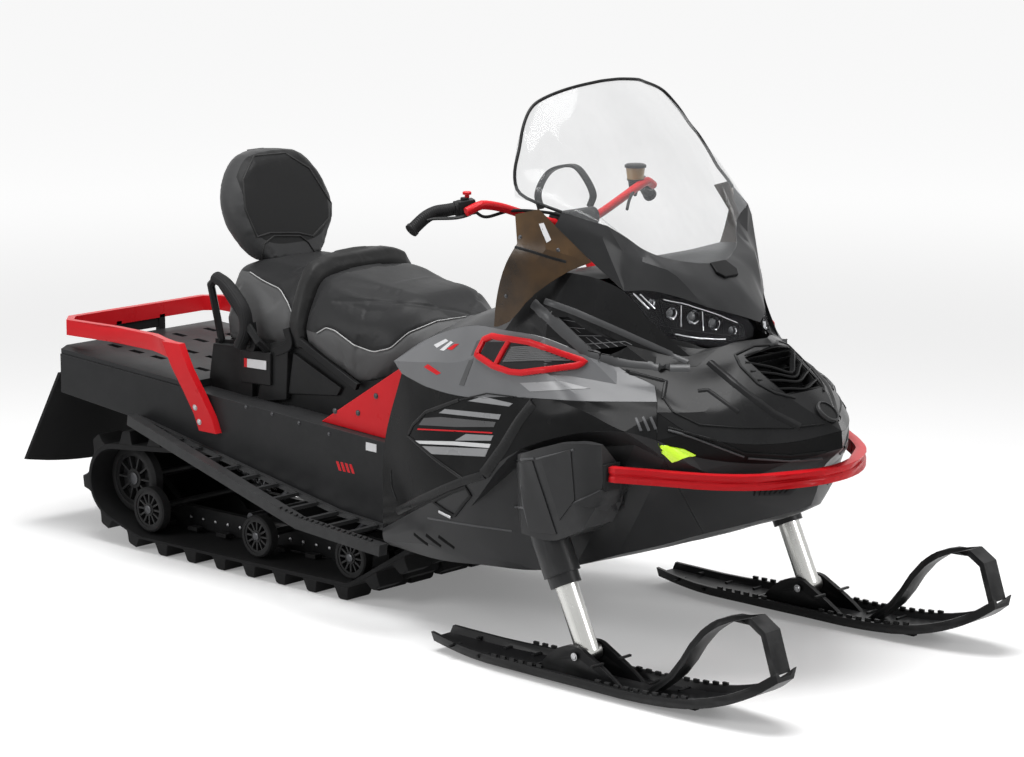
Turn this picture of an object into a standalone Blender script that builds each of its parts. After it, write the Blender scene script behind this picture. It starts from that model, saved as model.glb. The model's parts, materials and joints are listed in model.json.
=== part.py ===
"""Two-seat utility snowmobile on a wide track, modelled in metres.

X points forward, Y to the rider's left and Z up. The origin is on the floor below the middle
of the machine. Every piece takes its place from the named sizes below; tables of shapes hold
shares of the named sizes of the piece that they belong to.
"""
import math

import bmesh
import bpy
import numpy as np
from mathutils import Vector

# General sizes
SEAT_GAP = 0.0003            # left between two pieces that touch
PANEL_WALL = 0.004           # moulded body panels
RIGHT, LEFT = -1.0, 1.0
ROUND_SIDES = 20
FINE_SIDES = 32

# Track, wheels and rails
TRACK_HALF = 0.30
BELT_WALL = 0.016
LUG_HEIGHT = 0.038
LUG_PITCH = 0.122
LUG_BASE = 0.062
LUG_TIP = 0.036
GROUND_INNER = BELT_WALL + LUG_HEIGHT
IDLER_X, IDLER_Z, IDLER_RADIUS = -1.084, 0.188, 0.098
TAIL_WHEEL_X, SMALL_RADIUS = -0.972, 0.066
MIDDLE_WHEEL_X = -0.520
FRONT_WHEEL_X = -0.150
BOGIE_RADIUS = 0.060
DRIVE_X, DRIVE_Z, DRIVE_RADIUS = 0.130, 0.310, 0.088
WHEEL_WIDTH = 0.034
WHEEL_Y = 0.210
OUTER_WHEEL_Y = 0.254
WHEEL_RIM_SHARE = 0.16
AXLE_RADIUS = 0.011
SLIDE_RAIL_Y = 0.120
SLIDE_RAIL_WALL = 0.022
SLIDE_RAIL_HEIGHT = 0.062

# Tunnel and rear deck
TUNNEL_HALF = 0.318
TUNNEL_WALL = 0.004
TUNNEL_REAR_X = -1.290
TUNNEL_FRONT_X = 0.300
TUNNEL_REAR_TOP = 0.545
TUNNEL_FRONT_TOP = 0.452
TUNNEL_SIDE_DROP = 0.115
TUNNEL_SIDE_LOW = 0.190
DECK_HEIGHT = 0.022
DECK_FRONT_X = -0.7225
DECK_SLOT_ROWS, DECK_SLOT_COLUMNS = 5, 4
SLOT_LENGTH, SLOT_WIDTH = 0.050, 0.022
FLAP_LOW_Z = 0.205
FLAP_BOW = 0.035
FLAP_REACH = 0.168
FLAP_WALL = 0.012

# Skis and telescopic legs
STANCE_HALF = 0.450
RAKE = math.radians(25.0)
PIVOT_X, PIVOT_Z = 0.862, 0.078
SKI_TAIL_REACH = 0.492
SKI_TIP_REACH = 0.608
SKI_TIP_Z = 0.150
SKI_TAIL_Z = 0.050
SKI_HALF = 0.088
SKI_FLOOR = 0.010
SKI_LIP = 0.026
SKI_LIP_WALL = 0.010
KEEL_HEIGHT = 0.012
KEEL_WIDTH = 0.016
LOOP_WIDTH = 0.056
LOOP_WALL = 0.016
LEG_RADIUS = 0.029
LEG_BORE = 0.0297
LEG_TOP_Z = 0.300
SLEEVE_RADIUS = 0.047
SLEEVE_LOW_Z = 0.262
COLLAR_RADIUS = 0.040
COLLAR_LOW_Z = 0.236
SLEEVE_TOP_Z = 0.440
FOOT_RADIUS = 0.022
BOLT_RADIUS = 0.006
BOLT_BORE = 0.0067
SADDLE_WALL = 0.014
SADDLE_INNER = 0.034
SADDLE_LENGTH, SADDLE_HEIGHT = 0.150, 0.083

# Body shell, as one set of stations that the panels share
BODY_REAR_X = 0.050
BODY_LENGTH = 1.226
BODY_HALF = 0.440
BODY_LOW = 0.200
BODY_HEIGHT = 0.800
ENGINE_Z = 0.480
ENGINE_LENGTH, ENGINE_WIDTH, ENGINE_HEIGHT = 0.420, 0.460, 0.340

SEAM = 0.0009                # open line between two neighbouring panels
SCREEN_WALL = 0.003
THIN_WALL = 0.0025
LAMP_DEPTH = 0.005
SLAT_WALL = 0.004
VENT_WALL, VENT_WIDTH, VENT_STAND = 0.010, 0.013, 0.0078
LOUVRE_SHARE = 0.45          # width and depth of a louvre beside those of the frame

# Bumper
BUMPER_HEIGHT, BUMPER_DEPTH = 0.036, 0.026

# Rear rail
RAIL_HALF = 0.310
RAIL_REAR_X = -1.318
RAIL_TOP = 0.646
RAIL_HEIGHT = 0.045
RAIL_DEPTH = 0.022
RAIL_BEND_X = -0.760
LEG_FOOT_X, LEG_FOOT_Z = -0.655, 0.405
LEG_WIDTH = 0.070
LEG_Y = TUNNEL_HALF + SEAT_GAP + RAIL_DEPTH / 2.0
LEG_LEAN = 0.040
RAIL_FLARE = 0.050

# Running boards
BOARD_REAR_X, BOARD_REAR_Y, BOARD_REAR_Z = -0.940, 0.352, 0.402
BOARD_BEND_X, BOARD_BEND_Z = -0.130, 0.252
BOARD_FRONT_X, BOARD_FRONT_Z = 0.180, 0.228
BOARD_HALF = 0.490
BOARD_RAIL = 0.030
BOARD_INNER_X = 0.040        # front end of its inner bar
BOARD_RUNGS = 12
RUNG_WIDTH = 0.014

# Seats
SEAT_REAR_X = -0.700
SEAT_LENGTH = 0.800
SEAT_HALF = 0.250
SEAT_LOW = 0.595
SEAT_HEIGHT = 0.300
BACK_X = -0.620              # front face at the foot
BACK_LEAN = 0.080
BACK_HEIGHT = 0.290
BACK_HALF = 0.190
BACK_WALL = 0.085
BASE_HALF = 0.225
HANDLE_HALF = 0.268
HANDLE_RADIUS = 0.011
FRAME_REAR_X, FRAME_FRONT_X = -0.235, 0.085
FRAME_Y, FRAME_TOP_Z, FRAME_WALL = 0.290, 0.665, 0.012

# Suspension arms: place of the upper and of the lower cross tube
ARM_RADIUS = 0.012
ARM_Y = 0.095
ARM_FOOT_HALF = 0.160
ARM_ROWS = (("front_arm", -0.090, 0.315, -0.300), ("rear_arm", -0.420, 0.335, -0.660))

# Steering
COLUMN_TILT = math.radians(30.0)
CLAMP_X, CLAMP_Z = 0.420, 1.055
COLUMN_LENGTH = 0.260
COLUMN_PLAY = 0.0008
COLUMN_RADIUS = 0.016
BAR_RADIUS = 0.0115
BAR_HALF = 0.465
BAR_RISE = 0.077
BAR_SWEEP = 0.144
GRIP_RADIUS = 0.0175
SWITCH_SIZE = 0.042
LEVER_REACH = 0.055
LEVER_RADIUS = 0.006

# Finishes: name, colour, roughness, metallic, alpha
FINISHES = (
    ("black_plastic", (0.018, 0.018, 0.019), 0.55, 0.0, 1.0),
    ("dark_plastic", (0.060, 0.062, 0.065), 0.45, 0.0, 1.0),
    ("grey_plastic", (0.200, 0.205, 0.210), 0.40, 0.0, 1.0),
    ("red_paint", (0.560, 0.020, 0.022), 0.30, 0.0, 1.0),
    ("tunnel_paint", (0.035, 0.036, 0.038), 0.40, 0.2, 1.0),
    ("rubber", (0.016, 0.016, 0.017), 0.75, 0.0, 1.0),
    ("dark_metal", (0.055, 0.056, 0.058), 0.40, 0.7, 1.0),
    ("silver_metal", (0.680, 0.680, 0.660), 0.28, 0.9, 1.0),
    ("seat_vinyl", (0.062, 0.064, 0.067), 0.60, 0.0, 1.0),
    ("lamp_glass", (0.750, 0.780, 0.800), 0.08, 0.0, 0.5),
    ("screen", (0.620, 0.640, 0.660), 0.05, 0.0, 0.3),
    ("amber_screen", (0.240, 0.100, 0.025), 0.08, 0.0, 0.6),
)


def clear_scene():
    for item in list(bpy.data.objects):
        bpy.data.objects.remove(item, do_unlink=True)


def make_finishes():
    made = {}
    for name, colour, rough, metal, alpha in FINISHES:
        mat = bpy.data.materials.new(name)
        mat.use_nodes = True
        shader = mat.node_tree.nodes["Principled BSDF"]
        shader.inputs["Base Color"].default_value = (*colour, 1.0)
        shader.inputs["Roughness"].default_value = rough
        shader.inputs["Metallic"].default_value = metal
        shader.inputs["Alpha"].default_value = alpha
        mat.diffuse_color = (*colour, alpha)
        made[name] = mat
    return made


def add_piece(name, shape, finish, origin=(0.0, 0.0, 0.0), smooth=30.0):
    """Store a bmesh as one named object whose origin is at the given place."""
    bmesh.ops.recalc_face_normals(shape, faces=shape.faces)
    bmesh.ops.translate(shape, verts=shape.verts, vec=-Vector(origin))
    mesh = bpy.data.meshes.new(name)
    shape.to_mesh(mesh)
    shape.free()
    mesh.materials.append(FINISH[finish])
    mesh.shade_smooth()
    mesh.set_sharp_from_angle(angle=math.radians(smooth))
    item = bpy.data.objects.new(name, mesh)
    item.location = origin
    bpy.context.collection.objects.link(item)
    return item


def loft(rings, closed=False):
    """Skin a list of rings with equal point counts; the ends are capped unless closed."""
    shape = bmesh.new()
    rows = [[shape.verts.new(point) for point in ring] for ring in rings]
    count = len(rows[0])
    pairs = list(zip(rows, rows[1:])) + ([(rows[-1], rows[0])] if closed else [])
    for low, high in pairs:
        for i in range(count):
            j = (i + 1) % count
            shape.faces.new((low[i], low[j], high[j], high[i]))
    if not closed:
        shape.faces.new(rows[0])
        shape.faces.new(rows[-1])
    return shape


def prism(outline, axis, low, high):
    """Extrude a flat outline along X, Y or Z; outline points are the two other places."""
    def place(point, along):
        triple = list(point)
        triple.insert("XYZ".index(axis), along)
        return triple
    return loft([[place(p, low) for p in outline], [place(p, high) for p in outline]])


def block(low, high):
    outline = [(low[1], low[2]), (high[1], low[2]), (high[1], high[2]), (low[1], high[2])]
    return prism(outline, "X", low[0], high[0])


def circle(radius, sides, turn=0.0):
    return [(radius * math.cos(math.tau * i / sides + turn),
             radius * math.sin(math.tau * i / sides + turn)) for i in range(sides)]


def sweep(path, profile, up=(0.0, 0.0, 1.0), closed=False):
    """Carry a profile along a path; its first place runs sideways, its second along up."""
    points = [Vector(p) for p in path]
    rings = []
    for i, here in enumerate(points):
        before = points[i - 1] if (i or closed) else here
        after = points[(i + 1) % len(points)] if (i + 1 < len(points) or closed) else here
        arrive = (here - before).normalized() if before != here else (after - here).normalized()
        leave = (after - here).normalized() if after != here else arrive
        ahead = (arrive + leave).normalized()
        side = ahead.cross(Vector(up)).normalized()
        lift = side.cross(ahead).normalized()
        turn = (leave - arrive)
        stretch = 1.0 / max(0.5, ahead.dot(leave))
        bend = turn.normalized() if turn.length > 1e-6 else None
        ring = []
        for a, b in profile:
            offset = side * a + lift * b
            if bend is not None:
                offset += bend * offset.dot(bend) * (stretch - 1.0)
            ring.append(here + offset)
        rings.append(ring)
    return loft(rings, closed)


def rod(start, end, radius, sides=ROUND_SIDES):
    start, end = Vector(start), Vector(end)
    ahead = (end - start).normalized()
    up = (0.0, 0.0, 1.0) if abs(ahead.z) < 0.9 else (1.0, 0.0, 0.0)
    return sweep([start, end], circle(radius, sides), up)


def mirrored(shape):
    """Return a copy reflected in the machine's middle plane."""
    copy = shape.copy()
    bmesh.ops.scale(copy, verts=copy.verts, vec=(1.0, -1.0, 1.0))
    bmesh.ops.reverse_faces(copy, faces=copy.faces)
    return copy


def temp_object(shape):
    bmesh.ops.recalc_face_normals(shape, faces=shape.faces)
    mesh = bpy.data.meshes.new("cutter")
    shape.to_mesh(mesh)
    shape.free()
    item = bpy.data.objects.new("cutter", mesh)
    item.hide_render = True
    item.display_type = "WIRE"
    bpy.context.collection.objects.link(item)
    return item


def combine(base, others, operation):
    """Apply an exact Boolean with each of the other shapes and return the result."""
    result = temp_object(base)
    for other in others:
        tool = temp_object(other)
        step = result.modifiers.new("step", "BOOLEAN")
        step.operation = operation
        step.solver = "EXACT"
        step.object = tool
        view = bpy.context.evaluated_depsgraph_get()
        mesh = bpy.data.meshes.new_from_object(result.evaluated_get(view))
        result.modifiers.clear()
        result.data = mesh
        bpy.data.objects.remove(tool, do_unlink=True)
    shape = bmesh.new()
    shape.from_mesh(result.data)
    bpy.data.objects.remove(result, do_unlink=True)
    bmesh.ops.remove_doubles(shape, verts=shape.verts, dist=1e-6)
    return shape


def fuse(shapes):
    return combine(shapes[0], shapes[1:], "UNION")


def cut(base, cutters):
    return combine(base, cutters, "DIFFERENCE")


def tunnel_top(x):
    share = (x - TUNNEL_REAR_X) / (TUNNEL_FRONT_X - TUNNEL_REAR_X)
    return TUNNEL_REAR_TOP + share * (TUNNEL_FRONT_TOP - TUNNEL_REAR_TOP)


# Track

def band_points(wheels, extra, step):
    """Walk a taut band around circles given clockwise seen from the right side."""
    def tangent(a, b):
        dx, dz = b[0] - a[0], b[1] - a[1]
        far = math.hypot(dx, dz)
        lean = math.atan2(dz, dx) - math.pi / 2.0 + math.asin((a[2] - b[2]) / far)
        return lean
    path = []
    count = len(wheels)
    for k in range(count):
        here = wheels[k]
        arrive = tangent(wheels[k - 1], here)
        leave = tangent(here, wheels[(k + 1) % count])
        while leave < arrive:
            leave += math.tau
        parts = max(2, int((leave - arrive) / step))
        half_step = (leave - arrive) / parts / 2.0
        for i in range(parts + 1):
            angle = arrive + (leave - arrive) * i / parts
            reach = (here[2] + SEAT_GAP) / math.cos(half_step) + extra
            path.append((here[0] + reach * math.cos(angle), here[1] + reach * math.sin(angle)))
    return path


def ride_circles():
    """Circles that the band runs around, from the idler forward along the floor."""
    return [
        (IDLER_X, IDLER_Z, IDLER_RADIUS),
        (TAIL_WHEEL_X, GROUND_INNER + SMALL_RADIUS, SMALL_RADIUS),
        (FRONT_WHEEL_X, GROUND_INNER + BOGIE_RADIUS, BOGIE_RADIUS),
        (DRIVE_X, DRIVE_Z, DRIVE_RADIUS),
    ]


def make_track():
    """One fixed loop; each lug is a tapered bar across the whole belt."""
    step = math.radians(18.0)
    inner = band_points(ride_circles(), 0.0, step)
    outer = band_points(ride_circles(), BELT_WALL, step)
    total = sum(math.dist(a, b) for a, b in zip(outer, outer[1:] + outer[:1]))
    count = round(total / LUG_PITCH)
    pitch = total / count
    marks = []
    for k in range(count):
        middle = (k + 0.5) * pitch
        marks += [(middle - LUG_BASE / 2.0, 0.0), (middle - LUG_TIP / 2.0, LUG_HEIGHT),
                  (middle + LUG_TIP / 2.0, LUG_HEIGHT), (middle + LUG_BASE / 2.0, 0.0)]
    walked = [0.0]
    for a, b in zip(outer, outer[1:] + outer[:1]):
        walked.append(walked[-1] + math.dist(a, b))
    marks += [(w, 0.0) for w in walked[:-1]]

    def in_lug(w):
        offset = (w % pitch) - pitch / 2.0
        return abs(offset) < LUG_BASE / 2.0
    marks = sorted({(round(w, 6), h) for w,
                    h in marks if h > 0.0 or not in_lug(w - 1e-5) or not in_lug(w + 1e-5)})
    outline = []
    for w, lift in marks:
        k = max(i for i in range(len(outer)) if walked[i] <= w + 1e-9)
        a, b = outer[k], outer[(k + 1) % len(outer)]
        span = max(walked[k + 1] - walked[k], 1e-9)
        share = (w - walked[k]) / span
        dx, dz = b[0] - a[0], b[1] - a[1]
        far = max(math.hypot(dx, dz), 1e-9)
        outline.append((a[0] + dx * share + dz / far * lift, a[1] + dz * share - dx / far * lift))
    shape = bmesh.new()
    loops = []
    for y in (-TRACK_HALF, TRACK_HALF):
        edge_loops = []
        for points in (outline, inner):
            verts = [shape.verts.new((p[0], y, p[1])) for p in points]
            edges = [shape.edges.new((a, b)) for a, b in zip(verts, verts[1:] + verts[:1])]
            edge_loops.append((verts, edges))
        bmesh.ops.triangle_fill(shape, edges=edge_loops[0][1] + edge_loops[1][1], use_beauty=True)
        loops.append(edge_loops)
    for (low, _), (high, _) in zip(loops[0], loops[1]):
        for i in range(len(low)):
            j = (i + 1) % len(low)
            shape.faces.new((low[i], low[j], high[j], high[i]))
    add_piece("track", shape, "rubber")


def turned(x, z, rows, sides=ROUND_SIDES):
    """Turn a stepped shaft about a crosswise axis; rows hold a place along Y and a radius."""
    return loft([[(x + a * radius, y, z + b * radius) for a, b in circle(1.0, sides)] for y, radius in rows])


def wheel_rows(side, radius, place):
    """Steps of one dished wheel on its axle, from the middle of the machine outwards."""
    half = WHEEL_WIDTH / 2.0
    rim = WHEEL_RIM_SHARE * radius
    rows = [(place - half / 2.0, AXLE_RADIUS), (place - half / 2.0, radius - 2.0 * rim),
            (place - half, radius - rim), (place - half, radius),
            (place + half, radius), (place + half, radius - rim),
            (place + half / 2.0, radius - 2.0 * rim), (place + half / 2.0, AXLE_RADIUS)]
    if side == RIGHT:
        rows = [(-y, r) for y, r in rows[::-1]]
    return rows


def make_wheels():
    """Each axle carries its wheels as one piece."""
    rows = (
        ("rear_axle", IDLER_X, IDLER_Z, IDLER_RADIUS, WHEEL_Y),
        ("tail_wheels", TAIL_WHEEL_X, GROUND_INNER + SMALL_RADIUS, SMALL_RADIUS, OUTER_WHEEL_Y),
        ("middle_wheels", MIDDLE_WHEEL_X, GROUND_INNER + BOGIE_RADIUS, BOGIE_RADIUS, OUTER_WHEEL_Y),
        ("front_wheels", FRONT_WHEEL_X, GROUND_INNER + BOGIE_RADIUS, BOGIE_RADIUS, OUTER_WHEEL_Y),
        ("drive_axle", DRIVE_X, DRIVE_Z, DRIVE_RADIUS, WHEEL_Y),
    )
    for name, x, z, radius, place in rows:
        reach = TUNNEL_HALF - TUNNEL_WALL - SEAT_GAP if name == "drive_axle" else place + WHEEL_WIDTH * 0.6
        steps = [(-reach, AXLE_RADIUS)] + wheel_rows(RIGHT, radius - SEAT_GAP, place)
        steps += wheel_rows(LEFT, radius - SEAT_GAP, place) + [(reach, AXLE_RADIUS)]
        add_piece(name, turned(x, z, steps), "black_plastic")


def make_slide_rails():
    """Two upright rails that press the band down, joined by cross shafts and two arms."""
    low = GROUND_INNER + SEAT_GAP
    front_x = FRONT_WHEEL_X + BOGIE_RADIUS * 0.4
    outline = [
        (TAIL_WHEEL_X, low), (FRONT_WHEEL_X, low),
        (front_x, low + SLIDE_RAIL_HEIGHT / 4.0), (front_x, low + SLIDE_RAIL_HEIGHT),
        (FRONT_WHEEL_X, low + SLIDE_RAIL_HEIGHT), (TAIL_WHEEL_X, low + SLIDE_RAIL_HEIGHT),
        (IDLER_X - AXLE_RADIUS * 3.0, IDLER_Z + AXLE_RADIUS * 3.0),
        (IDLER_X - AXLE_RADIUS * 3.0, IDLER_Z - AXLE_RADIUS * 2.0),
    ]
    for name, side in (("slide_rail_right", RIGHT), ("slide_rail_left", LEFT)):
        inner = side * SLIDE_RAIL_Y
        outer = side * (SLIDE_RAIL_Y + SLIDE_RAIL_WALL)
        shape = prism(outline, "Y", min(inner, outer), max(inner, outer))
        bores = [rod((x, inner - side * SLIDE_RAIL_WALL, z), (x, outer + side * SLIDE_RAIL_WALL, z),
                     AXLE_RADIUS + SEAT_GAP)
                 for x, z in ((IDLER_X, IDLER_Z), (TAIL_WHEEL_X, GROUND_INNER + SMALL_RADIUS),
                              (MIDDLE_WHEEL_X, GROUND_INNER + BOGIE_RADIUS),
                              (FRONT_WHEEL_X, GROUND_INNER + BOGIE_RADIUS))]
        add_piece(name, cut(shape, bores), "dark_metal")


def make_arms():
    """Trailing arms of the track's suspension, each a frame of two cross tubes and two bars."""
    foot_z = GROUND_INNER + SLIDE_RAIL_HEIGHT + 2.0 * SEAT_GAP + ARM_RADIUS
    reach = TUNNEL_HALF - TUNNEL_WALL - SEAT_GAP
    for name, top_x, top_z, foot_x in ARM_ROWS:
        parts = [rod((top_x, -reach, top_z), (top_x, reach, top_z), ARM_RADIUS, 12),
                 rod((foot_x, -ARM_FOOT_HALF, foot_z), (foot_x, ARM_FOOT_HALF, foot_z), ARM_RADIUS, 12)]
        for side in (RIGHT, LEFT):
            parts.append(rod((top_x, side * ARM_Y, top_z), (foot_x, side * ARM_Y, foot_z),
                             ARM_RADIUS * 0.9, 12))
        add_piece(name, fuse(parts), "dark_metal")


# Skis and legs

def on_leg(z, side):
    """Point of the leg's axis at height z."""
    return Vector((PIVOT_X - (z - PIVOT_Z) * math.tan(RAKE), side * STANCE_HALF, z))


SKI_SHARES = (
    # place along the ski from tail to tip, half width, rise between sole and tip
    (0.00, 0.52, None), (0.06, 0.66, None), (0.14, 0.80, 0.0), (0.30, 0.94, 0.0), (0.48, 1.00, 0.0),
    (0.66, 1.00, 0.0), (0.78, 0.96, 0.10), (0.88, 0.86, 0.35), (0.95, 0.70, 0.66), (1.00, 0.46, 1.00),
)
LOOP_SHARES = (
    # place from the loop's foot to the ski's tip, height above the sole to the loop's top
    (0.00, 0.02), (0.20, 0.28), (0.44, 0.78), (0.56, 0.92), (0.80, 1.00), (0.90, 0.90), (1.02, 0.42),
)
LOOP_FOOT_REACH = 0.215
LOOP_TOP_Z = 0.256
SADDLE_SHARES = ((-0.87, 0.0), (1.0, 0.0), (0.80, 0.27), (0.23, 0.86), (0.08, 1.0), (-0.20, 1.0),
                 (-0.73, 0.34))


def make_ski(side):
    name = "ski_right" if side == RIGHT else "ski_left"
    tail_x = PIVOT_X - SKI_TAIL_REACH
    length = SKI_TAIL_REACH + SKI_TIP_REACH
    y = side * STANCE_HALF
    rings = []
    tail_rise = {0: 1.0, 1: 0.5}
    for k, (along, width, rise) in enumerate(SKI_SHARES):
        x = tail_x + along * length
        if rise is None:
            low = KEEL_HEIGHT + tail_rise[k] * (SKI_TAIL_Z - KEEL_HEIGHT - SKI_LIP)
        else:
            low = KEEL_HEIGHT + rise * (SKI_TIP_Z - KEEL_HEIGHT - SKI_LIP)
        half = width * SKI_HALF
        inner = half - SKI_LIP_WALL
        rings.append([
            (x, y - half + SKI_LIP_WALL, low), (x, y + half - SKI_LIP_WALL, low),
            (x, y + half, low + SKI_LIP), (x, y + inner, low + SKI_LIP),
            (x, y + inner - SKI_LIP_WALL, low + SKI_FLOOR), (x, y - inner + SKI_LIP_WALL, low + SKI_FLOOR),
            (x, y - inner, low + SKI_LIP), (x, y - half, low + SKI_LIP),
        ])
    plate = loft(rings)
    keel_x = (tail_x + 0.14 * length, tail_x + 0.76 * length)
    keel = block((keel_x[0], y - KEEL_WIDTH / 2.0, 0.0),
                 (keel_x[1], y + KEEL_WIDTH / 2.0, KEEL_HEIGHT + SKI_FLOOR / 2.0))
    foot_x = PIVOT_X + LOOP_FOOT_REACH
    span = PIVOT_X + SKI_TIP_REACH - foot_x
    path = [(foot_x + a * span - LOOP_WALL / 2.0, y, KEEL_HEIGHT + h * (LOOP_TOP_Z - KEEL_HEIGHT))
            for a, h in LOOP_SHARES]
    path[-1] = (PIVOT_X + SKI_TIP_REACH - LOOP_WALL, y, SKI_TIP_Z - SKI_LIP / 2.0)
    profile = [(-LOOP_WIDTH / 2.0, -LOOP_WALL / 2.0), (LOOP_WIDTH / 2.0, -LOOP_WALL / 2.0),
               (LOOP_WIDTH / 2.0, LOOP_WALL / 2.0), (-LOOP_WIDTH / 2.0, LOOP_WALL / 2.0)]
    loop = sweep(path, profile, up=(-1.0, 0.0, 0.0))
    parts = [plate, keel, loop]
    saddle_low = KEEL_HEIGHT + SKI_FLOOR / 2.0
    outline = [(PIVOT_X + a * SADDLE_LENGTH, saddle_low + b * SADDLE_HEIGHT) for a, b in SADDLE_SHARES]
    for hand in (RIGHT, LEFT):
        inner = y + hand * SADDLE_INNER
        outer = y + hand * (SADDLE_INNER + SADDLE_WALL)
        parts.append(prism(outline, "Y", min(inner, outer), max(inner, outer)))
    reach = SADDLE_INNER + SADDLE_WALL + BOLT_RADIUS
    parts.append(rod((PIVOT_X, y - reach, PIVOT_Z), (PIVOT_X, y + reach, PIVOT_Z), BOLT_RADIUS, FINE_SIDES))
    add_piece(name, fuse(parts), "black_plastic", origin=(PIVOT_X, y, PIVOT_Z))


def make_leg(side):
    name = "leg_right" if side == RIGHT else "leg_left"
    foot = on_leg(PIVOT_Z, side)
    tube = rod(on_leg(PIVOT_Z, side), on_leg(LEG_TOP_Z, side), LEG_RADIUS, FINE_SIDES)
    y = side * STANCE_HALF
    eye = rod((PIVOT_X, y - LEG_RADIUS, PIVOT_Z), (PIVOT_X, y + LEG_RADIUS, PIVOT_Z), FOOT_RADIUS,
              FINE_SIDES)
    keep = LEG_RADIUS
    trim = rod((PIVOT_X, y - 2.0 * LEG_RADIUS, PIVOT_Z), (PIVOT_X, y + 2.0 * LEG_RADIUS, PIVOT_Z),
               BOLT_BORE, FINE_SIDES)
    low_cut = block((PIVOT_X - 4.0 * keep, y - 2.0 * keep, PIVOT_Z - 3.0 * keep),
                    (PIVOT_X + 4.0 * keep, y + 2.0 * keep, PIVOT_Z))
    upper = cut(tube, [low_cut])
    shape = cut(fuse([upper, eye]), [trim])
    add_piece(name, shape, "silver_metal", origin=foot)


TOWER_SHARES = (
    # place along the body, height of its foot, inner and outer top, then half width
    (0.485, 0.275, 0.375, 0.435, 1.068), (0.522, 0.200, 0.394, 0.452, 1.148),
    (0.612, 0.200, 0.400, 0.500, 1.148),
    (0.677, 0.250, 0.412, 0.515, 1.125), (0.706, 0.350, 0.412, 0.512, 1.068),
)
TOWER_INNER_SHARE, TOWER_MID_SHARE = 0.865, 1.050


def make_sleeve(side):
    """Fixed upper tube of a telescopic leg with its collar."""
    name = "leg_sleeve_right" if side == RIGHT else "leg_sleeve_left"
    outer = rod(on_leg(SLEEVE_LOW_Z, side), on_leg(SLEEVE_TOP_Z, side), SLEEVE_RADIUS, FINE_SIDES)
    collar = rod(on_leg(COLLAR_LOW_Z, side), on_leg(SLEEVE_LOW_Z + SLEEVE_RADIUS, side), COLLAR_RADIUS,
                 FINE_SIDES)
    bore = rod(on_leg(COLLAR_LOW_Z - SLEEVE_RADIUS, side), on_leg(LEG_TOP_Z + SLEEVE_RADIUS, side),
               LEG_BORE, FINE_SIDES)
    rings = []
    for x, low, inner, top, half in TOWER_SHARES:
        corners = ((TOWER_INNER_SHARE, low), (TOWER_INNER_SHARE, inner), (TOWER_MID_SHARE, top), (half, top),
                   (half, low))
        ring = [Vector(body_point(x, y, z)) for y, z in corners]
        for corner in ring[:2]:
            corner.y -= SEAT_GAP
        rings.append([corner * Vector((1.0, -side, 1.0)) for corner in ring])
    add_piece(name, cut(fuse([outer, collar, loft(rings)]), [bore]), "black_plastic")


# Tunnel, deck, flap and rail

def make_tunnel():
    """Folded channel over the track, open below and behind."""
    def section(x, low, inset):
        half = TUNNEL_HALF - inset
        top = tunnel_top(x) - inset
        return [(x, -half, low), (x, -half, top), (x, half, top), (x, half, low)]
    stations = (
        (TUNNEL_REAR_X, TUNNEL_REAR_TOP - TUNNEL_SIDE_DROP),
        (BOARD_REAR_X, BOARD_REAR_Z - RUNG_WIDTH / 2.0),
        (BOARD_BEND_X, BOARD_BEND_Z - RUNG_WIDTH / 2.0),
        (BOARD_FRONT_X, BOARD_FRONT_Z - RUNG_WIDTH / 2.0),
        (TUNNEL_FRONT_X, TUNNEL_SIDE_LOW),
    )
    rings = []
    for x, low in stations:
        outer = section(x, low, 0.0)
        inner = section(x, low, TUNNEL_WALL)
        rings.append(outer + inner[::-1])
    add_piece("tunnel", loft(rings), "tunnel_paint")


def make_deck():
    """Slotted rear deck plate on top of the tunnel."""
    rear, front = TUNNEL_REAR_X, DECK_FRONT_X
    half = TUNNEL_HALF - PANEL_WALL
    rings = []
    for x in (rear, front):
        low = tunnel_top(x) + SEAT_GAP
        rings.append([(x, -half, low), (x, half, low), (x, half, low + DECK_HEIGHT * 0.6),
                      (x, half - DECK_HEIGHT, low + DECK_HEIGHT),
                      (x, -half + DECK_HEIGHT, low + DECK_HEIGHT),
                      (x, -half, low + DECK_HEIGHT * 0.6)])
    plate = loft(rings)
    slots = []
    length = front - rear
    for i in range(DECK_SLOT_ROWS):
        for j in range(DECK_SLOT_COLUMNS):
            x = rear + length * (i + 1.0) / (DECK_SLOT_ROWS + 1.0)
            y = half * (2.0 * (j + 1.0) / (DECK_SLOT_COLUMNS + 1.0) - 1.0)
            slots.append(block((x - SLOT_LENGTH / 2.0, y - SLOT_WIDTH / 2.0, tunnel_top(x)),
                               (x + SLOT_LENGTH / 2.0, y + SLOT_WIDTH / 2.0,
                                tunnel_top(x) + 2.0 * DECK_HEIGHT)))
    joined = bmesh.new()
    for slot in slots:
        mesh = bpy.data.meshes.new("slot")
        slot.to_mesh(mesh)
        slot.free()
        joined.from_mesh(mesh)
        bpy.data.meshes.remove(mesh)
    add_piece("rear_deck", cut(plate, [joined]), "dark_plastic")


def make_flap():
    """Snow flap that hangs behind the track, with a lower edge bowed down in the middle."""
    top_x = TUNNEL_REAR_X - FLAP_WALL
    top_z = TUNNEL_REAR_TOP - TUNNEL_SIDE_DROP / 2.0
    rings = []
    for k in range(9):
        across = 2.0 * k / 8.0 - 1.0
        y = across * TUNNEL_HALF
        low_z = FLAP_LOW_Z - FLAP_BOW * (1.0 - across * across)
        rings.append([
            (top_x, y, top_z), (top_x - FLAP_REACH, y, low_z),
            (top_x - FLAP_REACH + FLAP_WALL, y, low_z), (top_x + FLAP_WALL - SEAT_GAP, y, top_z),
        ])
    add_piece("snow_flap", loft(rings), "rubber")


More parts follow.
